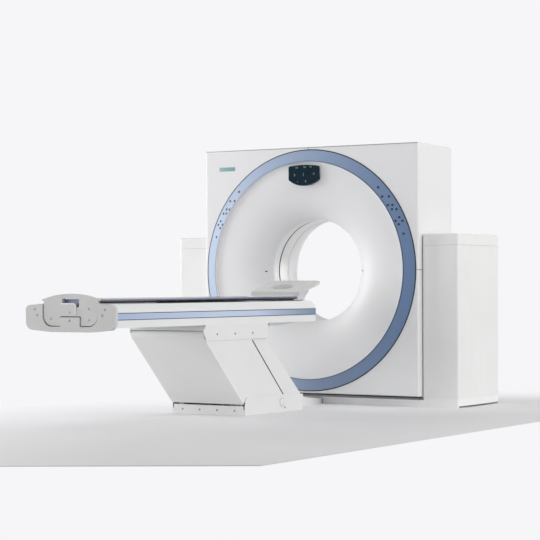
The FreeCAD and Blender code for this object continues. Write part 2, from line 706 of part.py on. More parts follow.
def xray_tube():
    """Tube housing along the bore axis with its collimator and cooler."""
    z = ISO_Z + FOCUS_UP + 25
    housing = rod_y(108, -110, DRUM_Y0, 0, z)
    cap = rod_y(80, -120, -110, 0, z)
    collimator = prism_y([(-60, ISO_Z + 408), (60, ISO_Z + 408), (95, z - 60), (-95, z - 60)], -45, 45)
    cooler = block(120, 260, -100, DRUM_Y0, z - 70, z + 60)
    pipe = rod_x(12, 90, 130, -40, z)
    return joined([housing, cap, collimator, cooler, pipe])


def detector_arc():
    """Curved detector below the bore, centred on the focal spot."""
    z = ISO_Z + FOCUS_UP
    thick = 90.0
    y0, y1 = -62.0, DRUM_Y0
    edge = math.radians(FAN_HALF)

    def at(radius, angle):
        return V(radius * math.sin(angle), y0, z - radius * math.cos(angle))

    far = DETECTOR_R + thick
    edges = [
        Part.Arc(at(DETECTOR_R, -edge), at(DETECTOR_R, 0), at(DETECTOR_R, edge)).toShape(),
        Part.LineSegment(at(DETECTOR_R, edge), at(far, edge)).toShape(),
        Part.Arc(at(far, edge), at(far, 0), at(far, -edge)).toShape(),
        Part.LineSegment(at(far, -edge), at(DETECTOR_R, -edge)).toShape(),
    ]
    return Part.Face(Part.Wire(edges)).extrude(V(0, y1 - y0, 0))


def hv_generator():
    """High voltage tank beside the bore."""
    tank = block(-690, -470, -90, DRUM_Y0, ISO_Z - 130, ISO_Z + 130)
    tank = softened(tank, 10, lambda e: abs(e.Vertexes[0].Y - e.Vertexes[-1].Y) > 100)
    sockets = [rod_y(22, -115, -90, -580, ISO_Z + z) for z in (-60, 60)]
    return joined([tank] + sockets)


# ---------------------------------------------------------------- table base and lift
ARM_LENGTH = math.hypot(ARM_Y, ARM_Z)
ALONG = (ARM_Y / ARM_LENGTH, ARM_Z / ARM_LENGTH)     # up the arm, as (y, z)
ACROSS = (ALONG[1], -ALONG[0])                       # square to it, up and towards the gantry
FRONT_UP = (FRONT_PIVOT_Y + ARM_Y, PIVOT_LOW_Z + ARM_Z)
REAR_UP = (REAR_PIVOT_Y + ARM_Y, PIVOT_LOW_Z + ARM_Z)
ARM_X0 = 200.0           # side plates of the arms
ARM_X1 = 216.0
LUG_X0 = 220.0           # lugs beside them
LUG_X1 = 238.0
LUG_EYE_R = 30.0
LUG_HALF = 24.0          # half width of a lug at its pin
PIN_REACH = 6.0          # a pin ends this much inside its arm plate
CHEEK_T = 4.0
FRONT_SHELL_X = 269.0    # outer half widths of the two nested covers
REAR_SHELL_X = 265.5
SHELL_T = 3.0
COVER_BEND_END = 150.0   # direction, in degrees from +Y, where the bent top of the front cover ends
CRANK_R = 90.0           # crank of the lift actuator on the rear arm
LIFT_MID = math.radians(-4.75)    # lift angle at which the crank stands square to the actuator
CRANK_PIN_R = 8.0
EYE_GAP = 2.6            # the actuator's eye is the open pivot of its linkage


def on_arm(pivot_y, along, across):
    """Point (y, z) given from a lower pivot, along and across the arm at rest."""
    return (pivot_y + along * ALONG[0] + across * ACROSS[0],
            PIVOT_LOW_Z + along * ALONG[1] + across * ACROSS[1])


def both(shape):
    """A shape on the right with its mirror image."""
    return [shape, mirrored(shape)]


def pin_lug(y, z, root):
    """Lug with its fixed pin; root lists the (y, z) corners where it meets the frame."""
    web = prism_x(root + [(y + LUG_HALF, z), (y - LUG_HALF, z)], LUG_X0, LUG_X1)
    plate = joined([web, rod_x(LUG_EYE_R, LUG_X0, LUG_X1, y, z)])
    return joined([plate, rod_x(PIN_R, ARM_X0 - PIN_REACH, LUG_X0, y, z)])


def table_base():
    """Folded base tray with the four lower pivot lugs and the actuator bracket."""
    floor_t = 10.0
    front_z = 60.0
    half_in = BASE_HALF - CHEEK_T
    tray = block(-half_in, half_in, BASE_FOOT_Y, BASE_HEAD_Y, 0, floor_t)
    cheek_z = 115.0
    cheek = [(BASE_FOOT_Y, 0), (BASE_HEAD_Y, 0), (BASE_HEAD_Y, 104, 6), (-1100, cheek_z),
             (BASE_FOOT_Y + 14, cheek_z, 26), (BASE_FOOT_Y, front_z)]
    cheeks = both(prism_x(cheek, half_in, BASE_HALF))
    front = block(-half_in + 8, half_in - 8, BASE_FOOT_Y, BASE_FOOT_Y + CHEEK_T, 0, front_z)
    front_low = block(-half_in, half_in, BASE_FOOT_Y, BASE_FOOT_Y + CHEEK_T, 0, 38)
    rear = block(-half_in, half_in, BASE_HEAD_Y - CHEEK_T, BASE_HEAD_Y, 0, front_z)
    pieces = [tray, front, front_low, rear] + cheeks
    for y in (FRONT_PIVOT_Y, REAR_PIVOT_Y):
        root = [(y - 45, floor_t), (y + 45, floor_t)]
        pieces += both(pin_lug(y, PIVOT_LOW_Z, root))
    pieces += both(rod_x(PIN_R, BASE_HALF, BASE_HALF + 2, REAR_PIVOT_Y, PIVOT_LOW_Z))
    bracket = [(-1400, floor_t), (-1320, floor_t), (-1330, 175), (-1390, 175)]
    pieces += both(prism_x(bracket, 46, 56))
    tray_holes = [rod_z(ANCHOR_R, -1, floor_t + 1, x, y) for x in (-150, 150) for y in (-1460, -830)]
    duct = block(-60, 60, BASE_HEAD_Y - 10, BASE_HEAD_Y + 1, floor_t, 50)
    return joined(pieces).cut(tray_holes + [duct])


def floor_duct():
    """Sloping cable duct on the floor between the table and the plinth, open below."""
    half, t = 75.0, 3.0
    top, low = 64.0, 40.0
    slope_end, slope_start = -300.0, -480.0
    side = [(BASE_HEAD_Y, 0), (BOX_FRONT_Y, 0), (BOX_FRONT_Y, low), (slope_end, low), (slope_start, top),
            (BASE_HEAD_Y, top)]
    inner = [(BASE_HEAD_Y - 1, -1), (BOX_FRONT_Y + 1, -1), (BOX_FRONT_Y + 1, low - t),
             (slope_end - 1, low - t), (slope_start - 1, top - t), (BASE_HEAD_Y - 1, top - t)]
    return prism_x(side, -half, half).cut(prism_x(inner, -half + t, half - t))


def arm_plates(pivot_y, eyes):
    """Two side plates with their eyes, tied by two cross tubes; eyes are the bore radii."""
    upper_low_end, half = 30.0, 22.0
    low_eye_r, up_eye_r, window_half = 32.0, 26.0, 14.0
    low = (pivot_y, PIVOT_LOW_Z)
    up = (pivot_y + ARM_Y, PIVOT_LOW_Z + ARM_Z)
    bar = [on_arm(pivot_y, 0, -half), on_arm(pivot_y, 0, upper_low_end),
           on_arm(pivot_y, ARM_LENGTH, half), on_arm(pivot_y, ARM_LENGTH, -half)]
    rims = [rod_x(low_eye_r, ARM_X0, ARM_X1, *low), rod_x(up_eye_r, ARM_X0, ARM_X1, *up)]
    cuts = [rod_x(radius, ARM_X0 - 1, ARM_X1 + 1, *centre) for radius, centre in zip(eyes, (low, up))]
    for near, far in ((80, 290), (355, 565)):
        corners = [(near, -window_half), (near, window_half), (far, window_half), (far, -window_half)]
        window = [on_arm(pivot_y, *corner_at) for corner_at in corners]
        cuts.append(prism_x(window, ARM_X0 - 1, ARM_X1 + 1, 12))
    return joined([prism_x(bar, ARM_X0, ARM_X1)] + rims).cut(cuts)


def front_arm():
    """Front arm of the lift, with the stubs that carry its cover."""
    plate = arm_plates(FRONT_PIVOT_Y, (PIN_R + RUNNING, PIN_R + RUNNING))
    pieces = both(plate)
    for along in (322, 600):
        pieces.append(rod_x(16, -ARM_X0, ARM_X0, *on_arm(FRONT_PIVOT_Y, along, 0)))
    for along in (60, 322):
        reach = FRONT_SHELL_X - SHELL_T
        pieces += both(rod_x(11, ARM_X1, reach, *on_arm(FRONT_PIVOT_Y, along + 12, 0)))
    return joined(pieces)


def shell_sides(pivot_y, corners, half):
    """Side walls of a cover from (along, across) corners."""
    points = [on_arm(pivot_y, *corner_at) for corner_at in corners]
    return both(prism_x(points, half - SHELL_T, half))


def shell_wall(pivot_y, start, end, thickness, half):
    """Wall across the couch between two (along, across) points."""
    points = [start, end, (end[0], end[1] + thickness), (start[0], start[1] + thickness)]
    return prism_x([on_arm(pivot_y, *p) for p in points], -half, half)


def level(z, across):
    """Distance along the arm at which a line at this distance across it reaches a height at rest."""
    return (z - PIVOT_LOW_Z - across * ACROSS[1]) / ALONG[1]


def bent_wall(start, end_angle):
    """Front wall of the outer cover; its top bends round the upper pivot to the given direction."""
    near = start[1]
    outer_r, inner_r = -near, -near - SHELL_T
    flat_angle = math.atan2(-ACROSS[1], -ACROSS[0])
    first, last = flat_angle % (2 * math.pi), math.radians(end_angle)

    def at(radius, angle):
        y, z = FRONT_UP
        return V(-FRONT_SHELL_X, y + radius * math.cos(angle), z + radius * math.sin(angle))

    def foot(across):
        y, z = on_arm(FRONT_PIVOT_Y, start[0], across)
        return V(-FRONT_SHELL_X, y, z)

    middle = (first + last) / 2
    edges = [
        Part.LineSegment(foot(near), at(outer_r, first)).toShape(),
        Part.Arc(at(outer_r, first), at(outer_r, middle), at(outer_r, last)).toShape(),
        Part.LineSegment(at(outer_r, last), at(inner_r, last)).toShape(),
        Part.Arc(at(inner_r, last), at(inner_r, middle), at(inner_r, first)).toShape(),
        Part.LineSegment(at(inner_r, first), foot(near + SHELL_T)).toShape(),
        Part.LineSegment(foot(near + SHELL_T), foot(near)).toShape(),
    ]
    return Part.Face(Part.Wire(edges)).extrude(V(2 * FRONT_SHELL_X, 0, 0))


def front_arm_cover():
    """Outer sheet cover: front wall and two sides, open towards the gantry and at both ends."""
    near, far = -42.0, 322.0
    low_z, side_low_z, far_low_z, top_z = 71.0, 86.0, 107.5, 480.0
    corners = [(level(low_z, near), near), (level(side_low_z, near + 16), near + 16),
               (level(far_low_z, far), far), (level(top_z, far), far), (level(top_z, near), near)]
    sides = shell_sides(FRONT_PIVOT_Y, corners, FRONT_SHELL_X)
    return joined(sides + [bent_wall(corners[0], COVER_BEND_END)])


def rear_arm():
    """Rear arm with its crank and its own cover, which slides inside the front one."""
    plate = arm_plates(REAR_PIVOT_Y, (PIN_R + RUNNING, PIN_R + 0.5))
    pieces = both(plate)
    low = (REAR_PIVOT_Y, PIVOT_LOW_Z)
    pieces.append(rod_x(20, -ARM_X0, ARM_X0, *low))
    pieces.append(rod_x(16, -ARM_X0, ARM_X0, *on_arm(REAR_PIVOT_Y, 600, 0)))
    crank_angle = math.pi / 2 + LIFT_MID
    pin = (low[0] + CRANK_R * math.cos(crank_angle), low[1] + CRANK_R * math.sin(crank_angle))
    web = [(low[0] - 18, low[1]), (low[0] + 18, low[1]), (pin[0] + 12, pin[1]), (pin[0] - 12, pin[1])]
    for side in (-1, 1):
        x0, x1 = sorted((side * 13, side * 23))
        pieces += [prism_x(web, x0, x1), rod_x(14, x0, x1, *pin)]
    pieces.append(rod_x(CRANK_PIN_R, -13, 13, *pin))
    near, low_far, top_far = -60.0, 196.0, 166.0
    low_z, top_z, wall_top_z = 103.0, 480.0, 448.0
    corners = [(level(low_z, near), near), (level(low_z, low_far), low_far),
               (level(top_z, top_far), top_far), (level(top_z, near), near)]
    pieces += shell_sides(REAR_PIVOT_Y, corners, REAR_SHELL_X)
    wall_far = low_far + (top_far - low_far) * (wall_top_z - low_z) / (top_z - low_z)
    wall_start, wall_end = corners[1], (level(wall_top_z, wall_far), wall_far)
    pieces.append(shell_wall(REAR_PIVOT_Y, wall_start, wall_end, -SHELL_T, REAR_SHELL_X))
    for along in (150, 380):
        pieces += both(rod_x(11, ARM_X1, REAR_SHELL_X - SHELL_T, *on_arm(REAR_PIVOT_Y, along + 168, 22)))
    return joined(pieces).cut(both(rod_x(PIN_R + RUNNING, ARM_X0 - 8, ARM_X1 + 1, *low)))


def eye_centre():
    """Middle of the crank pin's path, where the actuator's eye is placed at rest."""
    half_sweep = math.radians(17.25)
    angle = math.pi / 2 + LIFT_MID
    y = REAR_PIVOT_Y + CRANK_R * math.cos(angle)
    z = PIVOT_LOW_Z + CRANK_R * (1 + math.cos(half_sweep)) / 2
    return y, z


ACTUATOR_FRONT_Y = -1120.0
ROD_R = 12.0


def lift_actuator_body():
    """Spindle drive of the lift: tube, gear head and motor, bolted to the base bracket."""
    z = eye_centre()[1]
    tube = rod_y(26, -1330, ACTUATOR_FRONT_Y, 0, z)
    head = block(-46, 46, -1395, -1325, z - 92, z + 34)
    motor = rod_y(25, -1325, -1190, 0, z - 62)
    bore = rod_y(ROD_R + RUNNING, -1260, ACTUATOR_FRONT_Y + 1, 0, z)
    return joined([tube, head, motor]).cut(bore)


def lift_actuator_rod():
    """Thrust rod with the eye round the crank pin."""
    y, z = eye_centre()
    rod = rod_y(ROD_R, -1180, y - 14, 0, z)
    eye = rod_x(21, -11, 11, y, z)
    return joined([rod, eye]).cut(rod_x(CRANK_PIN_R + EYE_GAP, -12, 12, y, z))


# ---------------------------------------------------------------- couch
YOKE_LOW_Z = 478.0
YOKE_HEAD_Y = -1220.0
YOKE_NOSE_Y = -1957.0
NOSE_WALL_LOW_Z = 540.0  # the front arm's cover bends round its pivot below this edge
SLOT_IN_X = 260.0        # the arm covers rise between the couch's skin and its box frame
FOOT_FACE_Y = -2905.0
FOOT_HALF = 320.0


def yoke():
    """Frame under the couch: cheeks, nose, rear wall, top plate and the upper pivot lugs."""
    half_in = COUCH_HALF - CHEEK_T
    top = COUCH_LOW_Z
    nose = [(-1924, YOKE_LOW_Z), (YOKE_NOSE_Y, NOSE_WALL_LOW_Z, 12), (-1928, top), (YOKE_HEAD_Y, top),
            (YOKE_HEAD_Y, YOKE_LOW_Z)]
    cheeks = both(prism_x(nose, half_in, COUCH_HALF))
    low_y, top_y, t = YOKE_NOSE_Y + 1, -1928.0, 5.0
    front = [(low_y, NOSE_WALL_LOW_Z), (top_y, top), (top_y + t, top), (low_y + t, NOSE_WALL_LOW_Z)]
    front_wall = prism_x(front, -half_in, half_in)
    rear_wall = block(-SLOT_IN_X, SLOT_IN_X, YOKE_HEAD_Y - CHEEK_T, YOKE_HEAD_Y, YOKE_LOW_Z, top)
    plate = block(-SLOT_IN_X, SLOT_IN_X, -1930, YOKE_HEAD_Y, top - CHEEK_T, top)
    pieces = cheeks + [front_wall, rear_wall, plate]
    for y, z in (FRONT_UP, REAR_UP):
        pieces += both(pin_lug(y, z, [(y - LUG_HALF, top - CHEEK_T), (y + 40, top - CHEEK_T)]))
    return joined(pieces)


def couch_body():
    """Long box frame with a skin, a trough along its top and a rail block in the trough."""
    y0, y1 = COUCH_FOOT_Y, COUCH_HEAD_Y
    half, top, low, t = COUCH_HALF, COUCH_TOP_Z, COUCH_LOW_Z, SKIN
    shoulder_z = 676.0
    right = [(half, low), (half, shoulder_z, 26), (half - 34, top, 14), (TROUGH_HALF, top, 5),
             (TROUGH_HALF, TROUGH_Z + 5, 45), (SPINE_HALF, TROUGH_Z), (SPINE_HALF, SPINE_Z, 6)]
    left = [(-p[0],) + p[1:] for p in reversed(right)]
    solid = prism_y(right + left, y0, y1)
    pocket_top = top - 6
    pocket = [(TROUGH_HALF + t, low + t), (SLOT_IN_X - t, low + t), (SLOT_IN_X - t, shoulder_z, 14),
              (half - 38, pocket_top, 8), (TROUGH_HALF + t, pocket_top)]
    solid = solid.cut(both(prism_y(pocket, y0 - 1, y1 - t)))
    spine = rectangle(t - SPINE_HALF, SPINE_HALF - t, low + t, SPINE_Z - t)
    solid = solid.cut(prism_y(spine, y0 - 1, y1 - t))
    slot_end_y = -1180.0
    slot = prism_y(rectangle(SLOT_IN_X, half - t, low - 1, shoulder_z + 6), YOKE_NOSE_Y + 8, slot_end_y)
    solid = solid.cut(both(slot))
    bridge = block(-TROUGH_HALF, TROUGH_HALF, y1 - 34, y1, TROUGH_Z - 4, TOP_LOW_Z - 0.3)
    under = [(-1219, low), (-1219, 554, 4), (-1055, 551), (-720, low)]
    under_box = prism_x(under, -230, 230)
    wall_room = block(-231, 231, -1208, -1132, 540, low - 1)
    return joined([solid, bridge, under_box.cut(wall_room)])


def couch_stripes():
    """Blue stripe on each side of the couch."""
    stripe_t = 1.2
    stripe = block(COUCH_HALF, COUCH_HALF + stripe_t, -2817, COUCH_HEAD_Y, STRIPE_LOW_Z, STRIPE_TOP_Z)
    return Part.makeCompound(both(stripe))


def foot_outline():
    """Outline (x, z) of the foot plate without its opening."""
    return [(-FOOT_HALF, 702, 30), (-FOOT_HALF + 4, 566, 46), (-140, 551, 300), (140, 551, 300),
            (FOOT_HALF - 4, 566, 46), (FOOT_HALF, 702, 30), (195, 713), (-195, 713)]


def foot_opening(shrink):
    """U-shaped outline with the notch round the tab; shrink gives the shield its gap."""
    half, floor, tab, tab_z = 195.0 - shrink, 582.0 + shrink, 71.0 + shrink, 636.0 + shrink
    return [(-half, 800), (-half, floor, 62), (-tab, floor, 4), (-tab, tab_z, 5),
            (tab, tab_z, 5), (tab, floor, 4), (half, floor, 62), (half, 800)]


def foot_plate():
    """Moulded end cap of the couch with the U-shaped opening for the sliding shield."""
    cap = prism_y(foot_outline(), FOOT_FACE_Y, COUCH_FOOT_Y)
    front = (FOOT_FACE_Y - 1, FOOT_FACE_Y)
    hollow = [(-FOOT_HALF + 9, 694, 22), (-FOOT_HALF + 12, 574, 38), (-140, 560, 300), (140, 560, 300),
              (FOOT_HALF - 12, 574, 38), (FOOT_HALF - 9, 694, 22)]
    frame = [(-210, 715), (-210, 570, 66), (210, 570, 66), (210, 715)]
    inner = prism_y(hollow, front[1] + 6, COUCH_FOOT_Y - 5).cut(prism_y(frame, front[1], COUCH_FOOT_Y))
    solid = cap.cut(prism_y(foot_opening(0), front[0], COUCH_FOOT_Y + 1)).cut(inner)
    return solid


# ---------------------------------------------------------------- tabletop
SHIELD_T = 25.0
GRIP_LOW_Z = 692.0       # lower edge of the grip slot in the foot shield
TONGUE_HALF = 60.0       # tongue of the head holder, in its slot under the tabletop
TONGUE_T = 7.0


def tabletop():
    """Long carbon board with a shallow hollow top and a slot for the head holder."""
    dip, skirt = 16.0, 12.0
    y0, y1 = TOP_FOOT_Y + SHIELD_T, TOP_HEAD_Y

    def at(x, z):
        return V(x, y0, z)

    half, under = TOP_HALF, 170.0
    edges = [
        Part.Arc(at(half - 14, TOP_Z), at(0, TOP_Z - dip), at(14 - half, TOP_Z)).toShape(),
        Part.LineSegment(at(14 - half, TOP_Z), at(-half, TOP_Z - 4)).toShape(),
        Part.LineSegment(at(-half, TOP_Z - 4), at(-half, TOP_Z - skirt)).toShape(),
        Part.LineSegment(at(-half, TOP_Z - skirt), at(-under, TOP_LOW_Z)).toShape(),
        Part.LineSegment(at(-under, TOP_LOW_Z), at(under, TOP_LOW_Z)).toShape(),
        Part.LineSegment(at(under, TOP_LOW_Z), at(half, TOP_Z - skirt)).toShape(),
        Part.LineSegment(at(half, TOP_Z - skirt), at(half, TOP_Z - 4)).toShape(),
        Part.LineSegment(at(half, TOP_Z - 4), at(half - 14, TOP_Z)).toShape(),
    ]
    board = Part.Face(Part.Wire(edges)).extrude(V(0, y1 - y0, 0))
    slot = block(-TONGUE_HALF, TONGUE_HALF, y1 - 80, y1 + 1, TOP_LOW_Z - 1, TOP_LOW_Z + TONGUE_T)
    return board.cut([slot, grip_space()])


def grip_space():
    """Room for the fingers behind the grip slot of the foot shield."""
    back_y = TOP_FOOT_Y + SHIELD_T
    return block(-66, 70, back_y, back_y + 48, GRIP_LOW_Z - 4, 760)


def foot_shield():
    """Moulded end shield of the tabletop with its grip slot, and the carriage behind it."""
    gap, thick = 4.5, SHIELD_T
    face_y = TOP_FOOT_Y
    back_y = face_y + thick
    body = foot_opening(gap)
    tip_x, tip_z, crown = 210.0, 733.0, 769.0

    def at(x, z):
        return V(x, face_y, z)

    plate = prism_y(body, face_y, back_y).common(block(-300, 300, face_y - 1, back_y + 1, 500, tip_z - 8))
    cap_edges = [
        Part.Arc(at(-tip_x, tip_z), at(0, crown), at(tip_x, tip_z)).toShape(),
        Part.LineSegment(at(tip_x, tip_z), at(190, tip_z - 8)).toShape(),
        Part.LineSegment(at(190, tip_z - 8), at(-190, tip_z - 8)).toShape(),
        Part.LineSegment(at(-190, tip_z - 8), at(-tip_x, tip_z)).toShape(),
    ]
    cap = Part.Face(Part.Wire(cap_edges)).extrude(V(0, thick, 0))
    grip = prism_y(rectangle(-59, 62, GRIP_LOW_Z, 742), face_y - 1, back_y + 1, 9)
    pad = prism_y([(-66, 644, 6), (42, 644, 6), (42, 716, 18), (-66, 716, 3)], face_y - 3, face_y + 7)
    section = [(-180, 640, 8), (-78, 640), (-78, 655, 6), (78, 655, 6), (78, 640), (180, 640, 8),
               (180, TOP_LOW_Z), (-180, TOP_LOW_Z)]
    carriage = prism_y(section, back_y, back_y + 560)
    return joined([joined([plate, cap, carriage.cut(grip_space())]).cut(grip), pad])


def head_holder():
    """Sloping head plate with its oval hollow, lip and neck bracket."""
    low_y, low_z, high_y, high_z = -690.0, 768.0, -440.0, 837.0
    slope = math.atan2(high_z - low_z, high_y - low_y)
    length = math.hypot(high_y - low_y, high_z - low_z)
    thick = 14.0
    plate = prism_z([(-188, 0, 14), (188, 0, 14), (217, length, 60), (-217, length, 60)], -thick, 0)
    bowl = prism_z([(-105, 70, 55), (75, 70, 55), (75, length - 70, 55), (-105, length - 70, 55)], -6, 1)
    plate = plate.cut(bowl)
    plate.rotate(V(0, 0, 0), V(1, 0, 0), math.degrees(slope))
    plate.translate(V(0, low_y, low_z))
    lip = prism_x([(low_y - 2, 742), (low_y + 12, 742), (low_y + 12, 760), (low_y + 1, low_z)], -186, 186)
    tongue_z, neck_half, foot_y = TOP_LOW_Z + TONGUE_T, 150.0, low_y + 4
    bracket = [(low_y + 2, tongue_z), (-560, tongue_z, 20), (-470, 800, 20), (-520, 802), (low_y + 2, 757)]
    neck = prism_x(bracket, -neck_half, neck_half)
    tongue = block(-TONGUE_HALF, TONGUE_HALF, TOP_HEAD_Y - 79, foot_y, TOP_LOW_Z, tongue_z)
    wedge = [(TOP_HEAD_Y, TOP_LOW_Z), (foot_y, TOP_LOW_Z), (foot_y, 745), (TOP_HEAD_Y, 728)]
    foot = prism_x(wedge, -neck_half, neck_half)
    return joined([plate, lip, neck, tongue, foot])


# ---------------------------------------------------------------- write every part
def build():
    """Make and write all sub-parts."""
    keep("stand_frame", stand_frame())
    keep("plinth_skirt", plinth())
    keep("right_side_cover", side_cover())
    keep("left_side_cover", mirrored(side_cover()))
    keep("right_side_lid", side_lid())
    keep("left_side_lid", mirrored(side_lid()))
    keep("tilt_motor", tilt_motor())
    keep("tilt_pinion", tilt_pinion())
    keep("tilt_sector", tilt_sector())
    keep("tilt_frame", tilt_frame())
    keep("main_bearing", main_bearing())
    for right in (False, True):
        for upper in (False, True):
            word = ("upper" if upper else "lower") + ("_right" if right else "_left")
            keep(f"{word}_panel", corner_panel(right, upper))
    keep("rear_cover", rear_cover())
    keep("front_funnel", front_funnel())
    keep("scan_window", scan_window())
    keep("blue_ring", blue_ring())
    keep("display", display())
    for name, solid in keys().items():
        keep(name, solid)
    keep("rotor_drum", rotor_drum())
    keep("xray_tube", xray_tube())
    keep("detector_arc", detector_arc())
    keep("hv_generator", hv_generator())
    keep("floor_duct", floor_duct())
    keep("table_base", table_base())
    keep("front_arm", front_arm())
    keep("front_arm_cover", front_arm_cover())
    keep("rear_arm", rear_arm())
    keep("lift_actuator_body", lift_actuator_body())
    keep("lift_actuator_rod", lift_actuator_rod())
    keep("yoke", yoke())
    keep("couch_body", couch_body())
    keep("couch_stripes", couch_stripes())
    keep("foot_plate", foot_plate())
    keep("tabletop", tabletop())
    keep("foot_shield", foot_shield())
    keep("head_holder", head_holder())


build()
os.makedirs("parts", exist_ok=True)
for part_name, part_shape in PARTS.items():
    part_shape.exportStep(f"parts/{part_name}.step")
print(len(PARTS), "parts")
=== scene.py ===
"""CT scanner: the looks of the machine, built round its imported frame.

Laid out as a Blender add-on and run as a script. Metres; +Y runs along the bore away from the
couch, +Z is up, and the origin is on the floor under the middle of the bore.
"""
import math

import bpy
from bpy.props import FloatProperty, FloatVectorProperty, IntProperty, PointerProperty
from mathutils import Matrix, Vector


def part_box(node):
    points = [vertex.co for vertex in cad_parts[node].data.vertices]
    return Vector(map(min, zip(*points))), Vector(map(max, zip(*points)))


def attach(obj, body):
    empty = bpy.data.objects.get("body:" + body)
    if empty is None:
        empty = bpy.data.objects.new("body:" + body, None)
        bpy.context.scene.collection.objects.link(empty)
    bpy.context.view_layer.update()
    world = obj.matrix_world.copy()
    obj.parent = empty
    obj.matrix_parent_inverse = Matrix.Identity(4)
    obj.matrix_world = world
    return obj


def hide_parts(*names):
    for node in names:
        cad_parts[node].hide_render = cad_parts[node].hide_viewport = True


bl_info = {
    "name": "CT scanner dressing",
    "version": (1, 0, 0),
    "blender": (4, 5, 0),
    "location": "View3D > Sidebar > CT scanner",
    "description": "Covers, ring, keys, couch trim and finishes of a tilting CT scanner",
    "category": "Object",
}

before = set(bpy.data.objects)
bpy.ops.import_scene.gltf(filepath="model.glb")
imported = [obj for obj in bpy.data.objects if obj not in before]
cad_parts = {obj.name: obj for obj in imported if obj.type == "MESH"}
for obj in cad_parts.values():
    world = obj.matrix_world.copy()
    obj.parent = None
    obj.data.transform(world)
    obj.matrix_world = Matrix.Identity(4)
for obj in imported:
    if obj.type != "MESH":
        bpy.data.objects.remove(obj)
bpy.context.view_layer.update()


def linear(code):
    """Linear RGB of an sRGB hex colour."""
    parts = [int(code[i:i + 2], 16) / 255 for i in (1, 3, 5)]
    return tuple(c / 12.92 if c <= 0.04045 else ((c + 0.055) / 1.055) ** 2.4 for c in parts)


def length(name, value, text):
    """A size that a user may change."""
    return FloatProperty(name=name, default=value, description=text, unit="LENGTH", min=0.0)


def colour(name, code, text):
    """A colour that a user may change."""
    return FloatVectorProperty(name=name, default=linear(code), description=text, subtype="COLOR",
                               size=3, min=0.0, max=1.0)


# -------- what a user may change
class ScannerSizes(bpy.types.PropertyGroup):
    axis_z: length("Bore axis height", 0.914, "Height of the bore axis over the floor")
    bore_r: length("Bore radius", 0.350, "Radius of the patient bore")
    mouth_r: length("Funnel radius", 0.740, "Outer edge of the funnel")
    mouth_y: length("Funnel lip", 0.262, "How far the lip stands in front of the bore's middle")
    throat_y: length("Throat", 0.120, "Where the funnel meets the straight bore")
    seal_y: length("Seal groove", 0.066, "Front edge of the groove beside the scan window")
    flare_r: length("Rear flare radius", 0.520, "Outer edge of the flare in the rear cover")
    ring_out_r: length("Ring outer radius", 0.8276, "Outer edge of the blue ring")
    ring_in_r: length("Ring inner radius", 0.7445, "Inner edge of the blue ring")
    ring_proud: length("Ring height", 0.030, "How far the ring's inner edge stands proud")
    cover_y: length("Front cover", 0.250, "Plane of the front cover, in front of the bore's middle")
    wall: length("Moulding thickness", 0.004, "Wall of the moulded covers")
    key_r: length("Key radius", 0.0065, "Radius of a round key")
    screw_r: length("Screw radius", 0.0065, "Head radius of the cover screws")
    steps: IntProperty(name="Steps round", default=192, min=48, max=512,
                       description="Faces round the large turned pieces")


class ScannerColours(bpy.types.PropertyGroup):
    moulding: colour("Gantry moulding", "#E6E6E7", "White of the moulded gantry covers")
    sheet: colour("Coated sheet", "#E9E9E8", "White of the coated steel covers")
    couch: colour("Couch shell", "#EBECEC", "White of the couch body")
    foot: colour("Foot moulding", "#CFCFCE", "Pale grey of the couch's end mouldings")
    plinth: colour("Plinth", "#EEEEEE", "Pale grey of the plinth and the duct")
    # painted highlight: the left colour is the deep blue made pale, as light from the left would make it
    ring: colour("Ring blue, painted highlight at left", "#AEBDD3", "Pale pearl blue at the ring's left")
    ring_deep: colour("Ring blue, right", "#6781A6", "Deep pearl blue at the ring's right")
    stripe: colour("Stripe blue", "#ADBFDE", "Blue of the couch stripe at its foot end")
    # painted light and shade along the stripe: pale at mid length, deep at the head end
    stripe_pale: colour("Stripe blue, painted light", "#C3D1E9", "Blue of the couch stripe at mid length")
    stripe_deep: colour("Stripe blue, painted shade", "#7C8EA8", "Blue of the couch stripe at its head end")
    board: colour("Tabletop blue", "#4A5476", "Blue of the tabletop's upper face")
    keys: colour("Keys", "#2B2A3C", "Dark violet grey of the keys")
    glass: colour("Display", "#0C2533", "Dark teal of the display window")
    rubber: colour("Rubber", "#17181B", "Black of seals and gaskets")
    # painted shade: the gasket's black gap line is painted paler on the left
    rubber_pale: colour("Rubber, bloomed", "#7A8089", "Grey painted on the ring gasket's left, where its shade reads pale")
    floor: colour("Floor", "#D9D9DA", "Pale grey floor near the scanner")


def sizes():
    return bpy.context.scene.scanner_sizes


def colours():
    return bpy.context.scene.scanner_colours


# -------- finishes
MM = 0.001
GLOSS_SPREAD = 0.12                     # how far the gloss varies either way
MIX_A, MIX_B, MIX_RESULT = 6, 7, 2      # colour sockets of a Mix node


def add_node(material, kind, settings=None, **links):
    """Add one node: settings name its fields or socket values, links name sources for its sockets."""
    made = material.node_tree.nodes.new(kind)
    for key, value in (settings or {}).items():
        if isinstance(key, int) or key in made.inputs:
            made.inputs[key].default_value = value
        else:
            setattr(made, key, value)
    for socket, source in links.items():
        material.node_tree.links.new(source, made.inputs[socket.replace("_", " ")])
    return made


def per_metre(size_mm):
    """Texture scale that makes a pattern this many millimetres across."""
    return 1.0 / (size_mm * MM)


def noise(material, place, size_mm, detail):
    """Soft noise of one size."""
    settings = {"Scale": per_metre(size_mm), "Detail": detail}
    return add_node(material, "ShaderNodeTexNoise", settings, Vector=place).outputs["Fac"]


def shade(rgb, factor):
    """The same linear colour, lighter or darker."""
    return tuple(min(1.0, c * factor) for c in rgb) + (1.0,)


